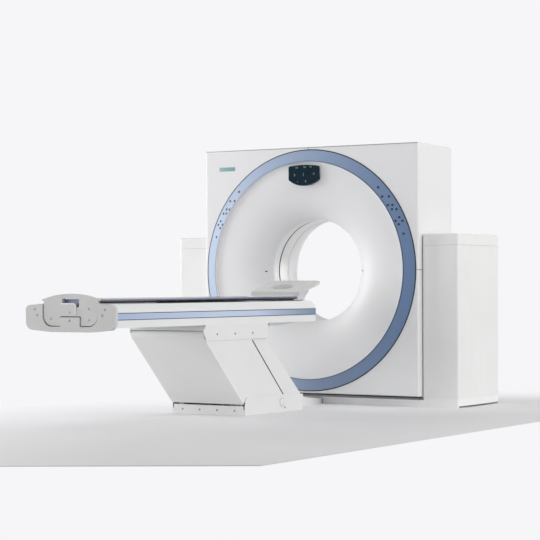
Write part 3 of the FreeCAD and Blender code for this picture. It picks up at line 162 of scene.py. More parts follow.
def finish(name, rgb, rough, cloud_mm, tint, grain_mm, bump_mm, sockets, stretch=(1, 1, 1)):
    """A surface with soft clouding of its colour, uneven gloss and a fine grain in relief.

    cloud_mm is the size of the clouding, tint its depth; grain_mm and bump_mm are the width and
    the height of the grain; stretch squeezes both along the axes. sockets are shader settings.
    """
    material = bpy.data.materials.new(name)
    material.use_nodes = True
    principled = material.node_tree.nodes["Principled BSDF"]
    place = add_node(material, "ShaderNodeTexCoord").outputs["Object"]
    place = add_node(material, "ShaderNodeMapping", {"Scale": stretch}, Vector=place).outputs["Vector"]
    cloud = noise(material, place, cloud_mm, 3.0)
    grain = noise(material, place, grain_mm, 2.0)
    ramp = add_node(material, "ShaderNodeValToRGB", Fac=cloud)
    low, high = ramp.color_ramp.elements
    low.position, low.color = 0.3, shade(rgb, 1 - tint)
    high.position, high.color = 0.7, shade(rgb, 1 + tint / 2)
    gloss = add_node(material, "ShaderNodeMapRange",
                     {"To Min": rough * (1 - GLOSS_SPREAD), "To Max": min(1.0, rough * (1 + GLOSS_SPREAD))},
                     Value=grain)
    relief = add_node(material, "ShaderNodeBump", {"Distance": bump_mm * MM, "Strength": 0.6}, Height=grain)
    links = material.node_tree.links
    links.new(ramp.outputs["Color"], principled.inputs["Base Color"])
    links.new(gloss.outputs["Result"], principled.inputs["Roughness"])
    links.new(relief.outputs["Normal"], principled.inputs["Normal"])
    for socket, value in sockets.items():
        principled.inputs[socket].default_value = value
    return material


def base_colour(material):
    """The shader's colour socket, and the socket that feeds it."""
    socket = material.node_tree.nodes["Principled BSDF"].inputs["Base Color"]
    return socket, socket.links[0].from_socket


def along_axis(material, axis):
    """Place along one object axis."""
    place = add_node(material, "ShaderNodeTexCoord").outputs["Object"]
    return add_node(material, "ShaderNodeSeparateXYZ", Vector=place).outputs[axis]


def mixed_colour(material, share, source, rgb):
    """The source's colour, giving way to a fixed one as the share grows."""
    mixed = add_node(material, "ShaderNodeMix", {"data_type": "RGBA"}, Factor=share)
    material.node_tree.links.new(source, mixed.inputs[MIX_A])
    mixed.inputs[MIX_B].default_value = tuple(rgb)[:3] + (1.0,)
    return mixed.outputs[MIX_RESULT]


def blended(material, axis, span, rgb):
    """Blend the material's own colour into another one along one object axis, from low to high."""
    target, source = base_colour(material)
    share = add_node(material, "ShaderNodeMapRange", {"From Min": span[0], "From Max": span[1]},
                     Value=along_axis(material, axis))
    material.node_tree.links.new(mixed_colour(material, share.outputs["Result"], source, rgb), target)


def banded(material, axis, bands, rgb):
    """One colour in bands along one object axis, over the material's own colour."""
    target, source = base_colour(material)
    along = along_axis(material, axis)
    for low, high in bands:
        inside = add_node(material, "ShaderNodeMath",
                          {"operation": "COMPARE", 1: (low + high) / 2, 2: (high - low) / 2}, Value=along)
        source = mixed_colour(material, inside.outputs[0], source, rgb)
    material.node_tree.links.new(source, target)


# -------- modelling helpers
AXES = {"X": Vector((1, 0, 0)), "Y": Vector((0, 1, 0)), "Z": Vector((0, 0, 1))}
SIDES = (("right", 1), ("left", -1))
WELD = 2e-6             # corners closer than this are one corner


def alone(*objects):
    """Select only these objects; the first is the active one."""
    bpy.ops.object.select_all(action="DESELECT")
    for obj in objects:
        obj.select_set(True)
    bpy.context.view_layer.objects.active = objects[0]
    return objects[0]


def editing(obj, act):
    """Run act in edit mode with all of the mesh selected."""
    alone(obj)
    bpy.ops.object.mode_set(mode="EDIT")
    bpy.ops.mesh.select_all(action="SELECT")
    act()
    bpy.ops.object.mode_set(mode="OBJECT")
    return obj


def pick(obj, kind, test):
    """In edit mode, select the faces or edges for which test(centre, item) holds."""
    bpy.ops.mesh.select_all(action="DESELECT")
    bpy.ops.mesh.select_mode(type=kind.upper())
    bpy.ops.object.mode_set(mode="OBJECT")
    mesh = obj.data
    for item in mesh.polygons if kind == "face" else mesh.edges:
        points = [mesh.vertices[i].co for i in item.vertices]
        centre = sum(points, Vector()) / len(points)
        item.select = bool(test(centre, item))
    bpy.ops.object.mode_set(mode="EDIT")


def modify(obj, kind, **settings):
    """Add a modifier and apply it at once."""
    alone(obj)
    modifier = obj.modifiers.new(kind.title(), kind)
    for key, value in settings.items():
        setattr(modifier, key, value)
    bpy.ops.object.modifier_apply(modifier=modifier.name)
    return obj


def settle(obj):
    """Put an object's place into its mesh."""
    alone(obj)
    bpy.ops.object.transform_apply(location=True, rotation=True, scale=True)
    return obj


def piece(obj, name, body, key, stands_for=(), smooth=30.0):
    """Name a finished piece, smooth it, give it its finish and let it ride on its body."""
    settle(obj)
    bpy.ops.object.shade_smooth_by_angle(angle=math.radians(smooth))
    if obj.pop("level_faces", False):
        modify(obj, "WEIGHTED_NORMAL", mode="FACE_AREA", weight=50, keep_sharp=True)
    obj.name = name
    obj.data.name = name
    obj.data.materials.clear()
    obj.data.materials.append(FINISH[key])
    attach(obj, body)
    if stands_for:
        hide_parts(*stands_for)
    return obj


def turned(points, closed=True, axis="Y", centre=None, steps=None):
    """Turn a profile of (radius, place along the axis) points round an axis, ring by ring.

    A closed profile comes back to its first point; any other one gets flat ends.
    """
    steps = steps or sizes().steps
    along = AXES[axis]
    middle = Vector((0, 0, sizes().axis_z)) if centre is None else Vector(centre)
    turn = along.to_track_quat("Z", "Y").to_euler()
    rings = list(points) + ([points[0]] if closed else [])
    radius, place = rings[0]
    bpy.ops.object.select_all(action="DESELECT")
    bpy.ops.mesh.primitive_circle_add(vertices=steps, radius=radius, rotation=turn,
                                      location=middle + along * place)
    obj = bpy.context.active_object
    settle(obj)

    def extrude_rings():
        before_r, before_p = radius, place
        for r, p in rings[1:]:
            bpy.ops.mesh.extrude_region_move(TRANSFORM_OT_translate={"value": along * (p - before_p)})
            scale = r / before_r
            bpy.ops.transform.resize(value=(scale, scale, scale), center_override=middle + along * p)
            before_r, before_p = r, p
        bpy.ops.mesh.select_all(action="SELECT")
        if closed:
            bpy.ops.mesh.remove_doubles(threshold=1e-6)
        else:
            bpy.ops.mesh.fill_holes(sides=0)
        bpy.ops.mesh.normals_make_consistent(inside=False)

    return editing(obj, extrude_rings)


def around(r, place, offsets):
    """Profile points at (radial, lengthwise) offsets in millimetres from one point."""
    return [(r + out * MM, place + on * MM) for out, on in offsets]


def stud(points, steps=24, closed=False):
    """A small turned shape along Z at the origin; its (radius, height) points are in millimetres."""
    return turned(around(0, 0, points), closed, "Z", (0, 0, 0), steps)


def aimed(obj, point, direction):
    """Turn an object modelled along Z at the origin to a direction and move it to a point."""
    obj.matrix_world = Matrix.Translation(point) @ direction.to_track_quat("Z", "Y").to_matrix().to_4x4()
    return settle(obj)


def spread(pattern, places):
    """A copy of the pattern, with its own mesh, aimed at each (point, direction); the pattern goes."""
    made = []
    for point, direction in places:
        twin = pattern.copy()
        twin.data = pattern.data.copy()
        bpy.context.scene.collection.objects.link(twin)
        made.append(aimed(twin, Vector(point), Vector(direction)))
    bpy.data.objects.remove(pattern)
    return made


def joined(objects):
    """One object from several."""
    first = alone(*objects)
    if len(objects) > 1:
        bpy.ops.object.join()
    return first


def moulded_from(node, edge_r=0.0, segments=2):
    """Copy a CAD node, weld its loose triangles and round its sharp edges."""
    obj = bpy.data.objects.new(node + "_copy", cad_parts[node].data.copy())
    bpy.context.scene.collection.objects.link(obj)

    def weld():
        bpy.ops.mesh.customdata_custom_splitnormals_clear()
        bpy.ops.mesh.remove_doubles(threshold=WELD)
        bpy.ops.mesh.dissolve_limited(angle_limit=math.radians(0.5))

    editing(obj, weld)
    if edge_r:
        modify(obj, "BEVEL", width=edge_r, segments=segments, limit_method="ANGLE",
               angle_limit=math.radians(32), use_clamp_overlap=True, miter_outer="MITER_ARC")
    obj["level_faces"] = True
    return obj


def dressed(node, name, body, key, edge_r=0.0, smooth=30.0):
    """Put the softened copy of a CAD node in the node's place."""
    piece(moulded_from(node, edge_r), name, body, key, [node], smooth)


def box(low, high):
    """A box primitive between two corners."""
    low, high = Vector(low), Vector(high)
    bpy.ops.object.select_all(action="DESELECT")
    bpy.ops.mesh.primitive_cube_add(size=1, location=(low + high) / 2, scale=high - low)
    return settle(bpy.context.active_object)


def cut_away(obj, cutter):
    """Take the cutter's volume out of the object."""
    modify(obj, "BOOLEAN", object=cutter, operation="DIFFERENCE", solver="EXACT")
    bpy.data.objects.remove(cutter)
    return obj


# -------- finishes of this machine
# key: real material, colour (a property's name or sRGB hex), roughness, size of the clouding in mm and
# its depth, width and height of the grain in mm, shader settings, stretch of the pattern
METAL = {"Metallic": 1.0}
FINISHES = {
    # moulded polyurethane covers, painted satin white: soft sheen, faint moulding waviness
    "moulding": ("Painted polyurethane moulding", "moulding", 0.42, 420, 0.02, 5.0, 0.03, {"IOR": 1.48}),
    # powder coat on folded steel: orange peel about 3 mm across, drawn at 5 mm so that it shows
    "sheet": ("Powder-coated steel sheet", "sheet", 0.48, 300, 0.02, 5.0, 0.05, {}),
    # gel-coated fibreglass shell: a little glossier, with a long soft waviness
    "couch": ("Gel-coated fibreglass", "couch", 0.34, 380, 0.02, 14.0, 0.05, {"IOR": 1.52}),
    # eroded texture of moulded ABS, dull; under 1 mm in reality, drawn at 3 mm
    "foot": ("Textured ABS moulding", "foot", 0.55, 160, 0.04, 3.0, 0.08, {"IOR": 1.46}),
    # stoved enamel over steel: flat pale grey with a faint orange peel
    "plinth": ("Plinth enamel", "plinth", 0.5, 260, 0.04, 5.0, 0.05, {}),
    # satin pearl lacquer, its own deep blue at the right, painted pale at the left as a highlight
    "ring": ("Pearl lacquer, blue", "ring", 0.55, 500, 0.02, 2.0, 0.01, {"Specular IOR Level": 0.35}),
    # blue foil with thin dark edges; painted light makes it palest at mid length, painted shade deepest at
    # the head end
    "stripe": ("Printed foil, blue", "stripe", 0.4, 420, 0.03, 4.0, 0.01, {}),
    # black laminate under clear coat: a sharp sheen over a dull weave
    "board": ("Carbon laminate, clear-coated", "#15171B", 0.3, 60, 0.25, 4.0, 0.02,
              {"Coat Weight": 0.6, "Coat Roughness": 0.08}),
    # acrylic with an anti-reflection coat: hardly any mirror image over a teal to navy ground
    "glass": ("Smoked acrylic window", "glass", 0.12, 70, 0.3, 40.0, 0.01,
              {"IOR": 1.49, "Specular IOR Level": 0.12}),
    # milky film that lets a little light through
    "film": ("Polyester film", "#F1F2F0", 0.3, 90, 0.02, 30.0, 0.02,
             {"Transmission Weight": 0.15, "IOR": 1.6}),
    # thin moulded liner, waxy and even
    "liner": ("Polypropylene liner, blue-grey", "#B5BDD6", 0.5, 60, 0.04, 2.0, 0.03, {"IOR": 1.49}),
    # closed foam skin: flat, without a mirror image; its grey is painted shade in the head plate's hollow
    "pad": ("Polyurethane foam skin, grey", "#B2B3B5", 0.75, 30, 0.05, 1.5, 0.1, {"IOR": 1.45}),
    # extruded silicone: soft, slightly waxy lines
    "white_seal": ("Silicone seal, white", "#EDEDEC", 0.5, 60, 0.02, 2.0, 0.02, {"IOR": 1.41}),
    "seal": ("Silicone seal, grey", "#9A9C9E", 0.5, 60, 0.04, 2.0, 0.02, {"IOR": 1.41}),
    # anodised sheet under a clear lacquer: even teal with a silky sheen
    "badge": ("Anodised plate, teal", "#7FA9AE", 0.4, 40, 0.04, 1.5, 0.01, {}),
    # moulded caps: dark, matt, with a trace of sheen on the rounded edge
    "keys": ("Silicone key cap", "keys", 0.5, 8, 0.1, 1.0, 0.02, {}),
    # extruded rubber: near black and dusty
    "rubber": ("EPDM rubber", "rubber", 0.7, 20, 0.2, 2.0, 0.04, {}),
    # the same, painted grey on the left: its black stands in for the shadow gap at the ring's outer edge,
    # painted shade that reads thin and pale on the left
    "gasket": ("EPDM rubber, bloomed", "rubber_pale", 0.7, 20, 0.2, 2.0, 0.04, {}),
    # printed digits lit softly from behind
    "marks": ("Display digits", "#6F979C", 0.4, 30, 0.1, 8.0, 0.0,
              {"Emission Color": linear("#6F979C") + (1.0,), "Emission Strength": 0.2}),
    # bright zinc on small heads: mottled glints
    "screw": ("Zinc-plated steel", "#8F9194", 0.35, 6, 0.15, 1.0, 0.02, METAL),
    # hot-rolled steel under grey primer: dull and uneven
    "steel": ("Primed structural steel", "#8B9196", 0.55, 90, 0.1, 2.5, 0.1, {}),
    # turned and ground steel: fine lines round the shaft, drawn 1.5 mm apart
    "machined": ("Ground steel", "#A9ABAE", 0.28, 40, 0.08, 1.5, 0.02, METAL, (8, 1, 1)),
    # sand-cast skin under paint: coarse pebbled grain
    "casting": ("Cast aluminium, painted", "#5F656B", 0.6, 50, 0.1, 3.0, 0.25, {}),
    # milled plate: soft glints drawn out along the cutter's path
    "rotor": ("Milled aluminium", "#B4B6B8", 0.36, 120, 0.07, 2.0, 0.03, METAL, (1, 6, 1)),
}
FINISH = {}
# span of the ring's painted highlight, from pale at the left to its own deep blue at the right
RING_HIGHLIGHT_X = (-0.80, 0.80)            # the lacquer's colour changes from the first to the second
# span of the gasket's painted shade, from grey at the left to black
GASKET_SHADE_BLEND_X = (-0.70, 0.10)
# spans of the stripe's painted light and painted shade along the couch
STRIPE_LIT_Y = (-2.80, -1.85)
STRIPE_SHADE_Y = (-1.35, -0.66)
STRIPE_Z = (0.6225, 0.6555)             # the foil's light field; dark edges below and above
BOARD_FACE_Z = (0.7275, 0.7600)         # heights at which the tabletop is blue


def make_finishes():
    """Make every finish, then the colour blends, the foil's edges and the laminate's weave."""
    c = colours()
    for key, (name, tone, *rest) in FINISHES.items():
        FINISH[key] = finish(name, linear(tone) if tone[0] == "#" else getattr(c, tone), *rest)
    # painted highlight on the ring: pale at the left, fading to the deep blue at the right
    blended(FINISH["ring"], "X", RING_HIGHLIGHT_X, c.ring_deep)
    # painted shade on the outer gasket: grey at the left, black at the right
    blended(FINISH["gasket"], "X", GASKET_SHADE_BLEND_X, c.rubber)
    # painted light at mid length and painted shade at the head end of the stripe
    blended(FINISH["stripe"], "Y", STRIPE_LIT_Y, c.stripe_pale)
    blended(FINISH["stripe"], "Y", STRIPE_SHADE_Y, c.stripe_deep)
    banded(FINISH["stripe"], "Z", [(0.0, STRIPE_Z[0]), (STRIPE_Z[1], 1.0)], shade(c.stripe, 0.12))
    weave(FINISH["board"])
    banded(FINISH["board"], "Z", [BOARD_FACE_Z], c.board)


def weave(material):
    """Twill of 3 mm tows in relief, as on carbon laminate; drawn at 9 mm so that it shows."""
    tree = material.node_tree
    place = add_node(material, "ShaderNodeTexCoord").outputs["Object"]
    turn = add_node(material, "ShaderNodeMapping", {"Rotation": (0, 0, math.radians(45))}, Vector=place)
    place = turn.outputs["Vector"]
    tows = add_node(material, "ShaderNodeTexChecker", {"Scale": per_metre(9.0)}, Vector=place)
    relief = add_node(material, "ShaderNodeBump", {"Distance": 0.05 * MM, "Strength": 0.5},
                      Height=tows.outputs["Fac"])
    tree.links.new(relief.outputs["Normal"], tree.nodes["Principled BSDF"].inputs["Coat Normal"])


NODE_FINISH = {
    "steel": ["stand_frame", "tilt_frame"],
    "machined": ["main_bearing", "tilt_sector", "tilt_pinion", "lift_actuator_rod"],
    "casting": ["tilt_motor", "lift_actuator_body"],
    "rotor": ["rotor_drum", "xray_tube", "detector_arc", "hv_generator"],
    "plinth": ["plinth_skirt", "floor_duct"],
    "sheet": ["front_arm", "rear_arm"],
    "stripe": ["couch_stripes"],
}


class SCANNER_OT_finishes(bpy.types.Operator):
    """Make every finish and give the CAD nodes theirs"""
    bl_idname = "scanner.finishes"
    bl_label = "Finishes"

    def execute(self, context):
        make_finishes()
        for key, nodes in NODE_FINISH.items():
            for node in nodes:
                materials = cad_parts[node].data.materials
                materials.clear()
                materials.append(FINISH[key])
        return {"FINISHED"}


# -------- bore
FUNNEL_LIP = 0.0083         # flat lip round the funnel's mouth
FILM_Y = 0.050              # half the width of the clear film
LIGHT_R = 0.385             # where the positioning light's windows sit on the funnel


def walled(face, wall):
    """Closed profile: the face points and the same line set back by the wall."""
    back = []
    for i, (r, p) in enumerate(face):
        r0, p0 = face[max(i - 1, 0)]
        r1, p1 = face[min(i + 1, len(face) - 1)]
        size = math.hypot(r1 - r0, p1 - p0)
        back.append((r - (p1 - p0) / size * wall, p + (r1 - r0) / size * wall))
    return face + back[::-1]


def bell(mouth_r, mouth_y, throat_y, count):
    """Quarter ellipse from the throat to the mouth, as (radius, place along the bore)."""
    bore_r = sizes().bore_r
    turns = [i * math.pi / 2 / count for i in range(count + 1)]
    return [(mouth_r - (mouth_r - bore_r) * math.cos(t), throat_y + (mouth_y - throat_y) * math.sin(t))
            for t in turns]


class SCANNER_OT_bore(bpy.types.Operator):
    """Funnel, scan window, its seals and the two light windows"""
    bl_idname = "scanner.bore"
    bl_label = "Bore"

    def execute(self, context):
        s = sizes()
        face = [(s.bore_r, -s.seal_y)] + bell(s.mouth_r, -s.mouth_y, -s.throat_y, 24)
        face += [(s.mouth_r + FUNNEL_LIP, -s.mouth_y)]
        funnel = turned(walled(face, s.wall))
        piece(funnel, "bore_funnel", "gantry", "moulding", ["front_funnel"])

        groove, seat, clear, end = s.bore_r + 0.008, s.bore_r + 0.011, s.bore_r + 0.001, s.seal_y
        profile = [(groove, -end), (groove, -FILM_Y), (clear, -FILM_Y), (clear, FILM_Y), (groove, FILM_Y),
                   (groove, end), (seat, end), (seat, -end)]
        piece(turned(profile), "window_ring", "gantry", "film", ["scan_window"])
        slack = 0.0004
        # the front seal is black as painted shade of the gap in front of the window; the rear one is white
        for word, low, seal in (("front", -end + slack, "rubber"), ("rear", FILM_Y + slack, "white_seal")):
            high = low + end - FILM_Y - 2 * slack
            free_r, held_r = clear + 0.0005, groove - 0.0003
            lip = [(free_r, low), (held_r, low), (held_r, high), (free_r, high),
                   (clear + 0.002, (low + high) / 2)]
            piece(turned(lip), f"{word}_seal", "gantry", seal)

        # the light windows lie on the funnel's curve, level with the bore
        across, depth = s.mouth_r - s.bore_r, s.mouth_y - s.throat_y
        cosine = (s.mouth_r - LIGHT_R) / across
        sine = math.sqrt(1 - cosine ** 2)
        for word, side in SIDES:
            normal = Vector((-side * depth * cosine, -across * sine, 0)).normalized()
            lens = stud([(9, -1), (9, 0.6), (7.5, 1.1), (2, 1.4)], 32)
            lens.scale = (1.0, 0.45, 1.0)
            settle(lens)
            place = Vector((side * LIGHT_R, -s.throat_y - depth * sine, s.axis_z - 0.005))
            piece(aimed(lens, place, normal), f"{word}_light_window", "gantry", "glass")
        return {"FINISHED"}


# -------- ring and keys
STEP = 0.0040               # width of the low step at the ring's inner edge
FLANGE = 0.0084             # width of the flange that the panels cover
# places of the keys and the lamp on the right half, in mm from the bore axis
KEY_PLACES = [(588, 490), (632, 490), (631, 432), (660, 433), (660, 404), (689, 404),
              (711, 350), (689, 326), (733, 326), (711, 302), (745, 239)]
LAMP_PLACE = (554, 553)


def on_ring(x_mm, z_mm):
    """Point on the ring's face and its outward normal; the place is given from the bore axis."""
    s = sizes()
    x, z = x_mm * MM, z_mm * MM
    radius = math.hypot(x, z)
    slope = math.atan2(s.ring_proud, s.ring_out_r - s.ring_in_r)
    y = -s.cover_y - s.ring_proud + (radius - s.ring_in_r) * math.tan(slope)
    normal = Vector((math.sin(slope) * x / radius, -math.cos(slope), math.sin(slope) * z / radius))
    return Vector((x, y, s.axis_z + z)), normal


def both_sides(places):
    """(side, number) and (point, normal) of each place and of its mirror image."""
    return {(word, number): on_ring(side * x, z) for word, side in SIDES
            for number, (x, z) in enumerate(places, 1)}


class SCANNER_OT_ring(bpy.types.Operator):
    """Blue ring with its key holes, its two edge gaskets, black as painted shade, and its lamps"""
    bl_idname = "scanner.ring"
    bl_label = "Ring"

    def execute(self, context):
        s = sizes()
        inner_r, outer_r, cover, lip = s.ring_in_r, s.ring_out_r, -s.cover_y, -s.mouth_y - 0.0003
        flange_r, edge = outer_r + FLANGE, 0.0012
        crest = cover - s.ring_proud
        rise = s.ring_proud / (outer_r - inner_r)
        step_r, rim_r = inner_r + STEP, outer_r - edge
        slope = [step_r + (rim_r - step_r) * i / 10 for i in range(11)]
        # a low step at the inner edge, the sloping face, and the flange under the panels
        face = [(inner_r, lip), (inner_r, crest - 0.0020), (inner_r + edge, crest - 0.0028),
                (step_r - 0.0004, crest - 0.0026)]
        face += [(r, crest + (r - inner_r) * rise) for r in slope]
        face += [(outer_r, cover + edge), (outer_r, cover + 0.006), (flange_r, cover + 0.006)]
        inside, outside = inner_r + s.wall, outer_r - s.wall
        drop = s.wall * math.hypot(1, rise)
        back = [(flange_r, cover + 0.010), (outside, cover + 0.010)]
        back += [(r, crest + (r - inner_r) * rise + drop) for r in (outside, inside)] + [(inside, lip)]
        ring = turned(face + back)
        hole_r = s.key_r / MM + 0.3
        cut_away(ring, joined(spread(stud([(hole_r, -16), (hole_r, 12)]), both_sides(KEY_PLACES).values())))
        piece(ring, "blue_ring_shell", "gantry", "ring", ["blue_ring"])

        # black bead for the shadow gap between the ring and the panels: painted shade, paler on the left
        bead = around(outer_r, cover,
                      [(-3.5, -2), (1.4, -3), (3, -2.2), (3, 4), (0.3, 4), (0.3, 0.2), (-3, -1)])
        piece(turned(bead), "ring_outer_gasket", "gantry", "gasket")
        # black bead on the inner step: painted shade of the step
        inner = around(step_r, crest, [(-0.3, 2.0), (-0.3, -2.2), (0.8, -1.8), (1.6, -0.2), (1.6, 2.0)])
        piece(turned(inner), "ring_inner_gasket", "gantry", "rubber")
        # white band on the ring's inner wall
        thin_r, seat_r = inner_r - 0.0014, inner_r - 0.0003
        lining = [(thin_r, lip), (thin_r, crest - 0.0006), (seat_r, crest - 0.0012), (seat_r, lip)]
        piece(turned(lining), "ring_inner_band", "gantry", "moulding")

        lamp = stud([(9, -1), (9, 1.1), (7.8, 1.8), (4, 2), (1, 2)], 32)
        places = both_sides([LAMP_PLACE])
        for (word, _), made in zip(places, spread(lamp, places.values())):
            piece(made, f"{word}_ring_lamp", "gantry", "keys")
        return {"FINISHED"}


class SCANNER_OT_keys(bpy.types.Operator):
    """The keys on the ring, modelled once and copied"""
    bl_idname = "scanner.keys"
    bl_label = "Keys"

    def execute(self, context):
        r = sizes().key_r / MM
        cap = stud([(r, -8), (r, 1.2), (r - 0.4, 1.8), (r - 1.1, 2.1), (r * 0.5, 2.2), (r * 0.2, 2.2)])
        places = both_sides(KEY_PLACES)
        for (word, number), made in zip(places, spread(cap, places.values())):
            node = f"{word}_key_{number}"
            piece(made, node + "_cap", node, "keys", [node])
        for word, _ in SIDES:
            bezel = stud([(r + 0.4, -1), (r + 2.2, -1), (r + 2.0, 0.6), (r + 0.6, 0.6)], closed=True)
            bezels = spread(bezel, [place for (side, _), place in places.items() if side == word])
            piece(joined(bezels), f"{word}_key_bezels", "gantry", "keys")
        return {"FINISHED"}


# -------- covers of the gantry
class SCANNER_OT_panels(bpy.types.Operator):
    """Front corner panels, with smooth rounded edges"""
    bl_idname = "scanner.panels"
    bl_label = "Front panels"

    def execute(self, context):
        for word in ("upper_left", "upper_right", "lower_left", "lower_right"):
            dressed(f"{word}_panel", f"{word}_panel_moulding", "gantry", "moulding")
        return {"FINISHED"}


class SCANNER_OT_rear_cover(bpy.types.Operator):
    """Rear cover with its soft edges, flared bore and trunnion openings"""
    bl_idname = "scanner.rear_cover"
    bl_label = "Rear cover"

    def execute(self, context):
        s = sizes()
        low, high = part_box("rear_cover")
        rear_edge_r, side_edge_r, trunnion_r, near = 0.080, 0.010, 0.062, 1e-4
        shell = box(low, high)

        def at_corner(centre, edge):
            """The four outer edges along the bore."""
            return all(min(abs(centre[i] - low[i]), abs(centre[i] - high[i])) < near for i in (0, 2))

        def round_edges():
            pick(shell, "edge", lambda c, e: abs(c.y - high.y) < near)
            bpy.ops.mesh.bevel(offset=rear_edge_r, segments=10, affect="EDGES")
            pick(shell, "face", lambda c, f: abs(c.y - low.y) < near)
            bpy.ops.mesh.delete(type="FACE")
            pick(shell, "edge", at_corner)
            bpy.ops.mesh.bevel(offset=side_edge_r, segments=4, affect="EDGES")

        editing(shell, round_edges)
        modify(shell, "SOLIDIFY", thickness=s.wall, offset=-1.0)
        cut_away(shell, turned([(s.flare_r, high.y - 0.02), (s.flare_r, high.y + 0.02)], False))
        cut_away(shell, turned([(trunnion_r, -1.0), (trunnion_r, 1.0)], False, "X", steps=64))
        face = [(s.bore_r, s.seal_y)] + bell(s.flare_r, high.y, s.throat_y, 20)
        flare = turned(walled(face, -s.wall))
        piece(joined([shell, flare]), "rear_shell", "gantry", "moulding", ["rear_cover"])
        return {"FINISHED"}


class SCANNER_OT_display(bpy.types.Operator):
    """Display window over the bore with generic digits"""
    bl_idname = "scanner.display"
    bl_label = "Display"

    def execute(self, context):
        window = moulded_from("display", 0.003, 3)
        piece(window, "display_window", "gantry", "glass", ["display"])
        low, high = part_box("display")
        middle = (low.x + high.x) / 2
        # text, place across from the middle, height over the window's lower edge, size of the digits
        rows = [("120", -0.054, 0.125, 0.017), ("0.8", 0.012, 0.127, 0.017), ("64", 0.060, 0.128, 0.016),
                ("5", -0.068, 0.074, 0.024), ("1", 0.002, 0.076, 0.030), ("12", 0.084, 0.079, 0.018),
                ("3", -0.045, 0.026, 0.015), ("6", 0.020, 0.030, 0.022)]
        digits = []
        for text, x, z, height in rows:
            bpy.ops.object.select_all(action="DESELECT")
            place = (middle + x, low.y - 0.0004, low.z + z)
            bpy.ops.object.text_add(location=place, rotation=(math.pi / 2, 0, 0))
            made = bpy.context.active_object.data
            made.body, made.size, made.extrude = text, height, 0.0003
            made.align_x = made.align_y = "CENTER"
            bpy.ops.object.convert(target="MESH")
            digits.append(settle(bpy.context.active_object))
        piece(joined(digits), "display_digits", "gantry", "marks")
        return {"FINISHED"}


# -------- side boxes and plinth
class SCANNER_OT_side_boxes(bpy.types.Operator):
    """Fluted side boxes and their lids, with soft edges"""
    bl_idname = "scanner.side_boxes"
    bl_label = "Side boxes"

    def execute(self, context):
        for word, _ in SIDES:
            cover, lid = f"{word}_side_cover", f"{word}_side_lid"
            dressed(cover, cover + "_sheet", "base", "sheet", smooth=40.0)
            dressed(lid, lid + "_sheet", "base", "sheet", 0.0015)
        return {"FINISHED"}


# -------- couch
TIP_Y = -0.475          # the head plate's free end starts here
REAR_Y = -2.855         # the foot cap's wings are drawn in behind this plane
WING_X = 0.24           # and outside of this distance from the middle
SINK = 0.0024           # depth of the counterbores


class SCANNER_OT_couch(bpy.types.Operator):
    """Couch shell, end mouldings, tabletop and head holder, with rounded edges"""
    bl_idname = "scanner.couch"
    bl_label = "Couch"

    def execute(self, context):
        plan = [
            ("couch_body", "couch_shell_moulding", "couch", "couch_shell", "couch", 0.0015),
            ("foot_plate", "foot_moulding_cap", "couch", "foot_moulding", "foot", 0.0030),
            ("foot_shield", "foot_shield_moulding", "table", "foot_moulding", "foot", 0.0025),
            ("tabletop", "tabletop_board", "table", "carbon_board", "board", 0.0012),
            ("head_holder", "head_holder_moulding", "table", "foot_moulding", "foot", 0.0025),
            ("yoke", "yoke_sheet", "couch", "white_sheet", "sheet", 0.0008),
            ("front_arm_cover", "front_arm_cover_sheet", "front_arm", "white_sheet", "sheet", 0.0006),
            ("table_base", "table_base_sheet", "base", "white_sheet", "sheet", 0.0008)]
        for node, name, body, slot, key, edge_r in plan:
            obj = moulded_from(node, edge_r)
            if node == "foot_plate":
                self.foot_cap(obj)
            if node == "head_holder":
                editing(obj, lambda: self.draw_tip(obj))
            piece(obj, name, body, key, [node])
        return {"FINISHED"}

    def draw_tip(self, obj):
        """Draw the head plate's free end out along its slope, and thin its edge."""
        pick(obj, "edge", lambda c, e: all(obj.data.vertices[i].co.y > TIP_Y for i in e.vertices))
        bpy.ops.transform.translate(value=(0, 0.024, 0.0066))

    def foot_cap(self, obj):
        """Draw the cap's wings in towards the rear, and sink a counterbore for each screw."""
        def draught():
            for _, side in SIDES[::-1]:
                pick(obj, "edge", lambda c, e: all(p.y > REAR_Y and p.x * side > WING_X for p in
                                                   (obj.data.vertices[i].co for i in e.vertices)))
                bpy.ops.transform.resize(value=(0.70, 1, 1), center_override=(side * WING_X, 0, 0))

        editing(obj, draught)
        face_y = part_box("foot_plate")[0].y
        hole_r = sizes().screw_r / MM + 0.8
        for x, z in cap_screws():
            hole = stud([(hole_r, 0), (hole_r, 5)])
            cut_away(obj, aimed(hole, Vector((x, face_y + SINK, z)), Vector((0, -1, 0))))


def cap_screws():
    """Where the foot cap's screws sit: two on each wing and one on the tab, as (x, z)."""
    return [(side * x, z) for side in (-1, 1) for x, z in ((0.250, 0.680), (0.232, 0.647))] + [(0.0, 0.617)]


def strip(low, high, soft, turn=(0, 0, 0), foot=(0, 0, 0)):
    """Straight strip with soft edges, turned and then set on a foot point."""
    obj = box(low, high)
    modify(obj, "BEVEL", width=soft, segments=2)
    obj.rotation_euler, obj.location = turn, foot
    return settle(obj)


COVER_X = 0.8430                    # half width of the gantry's front
TOP_JOINT_Z = 1.7552
PIN = (0, -1.440, 0.068)            # lower pin of the front arm
ARM_LEAN = math.atan2(0.464, 0.448)
SHOULDER_LEAN = math.radians(55.6)


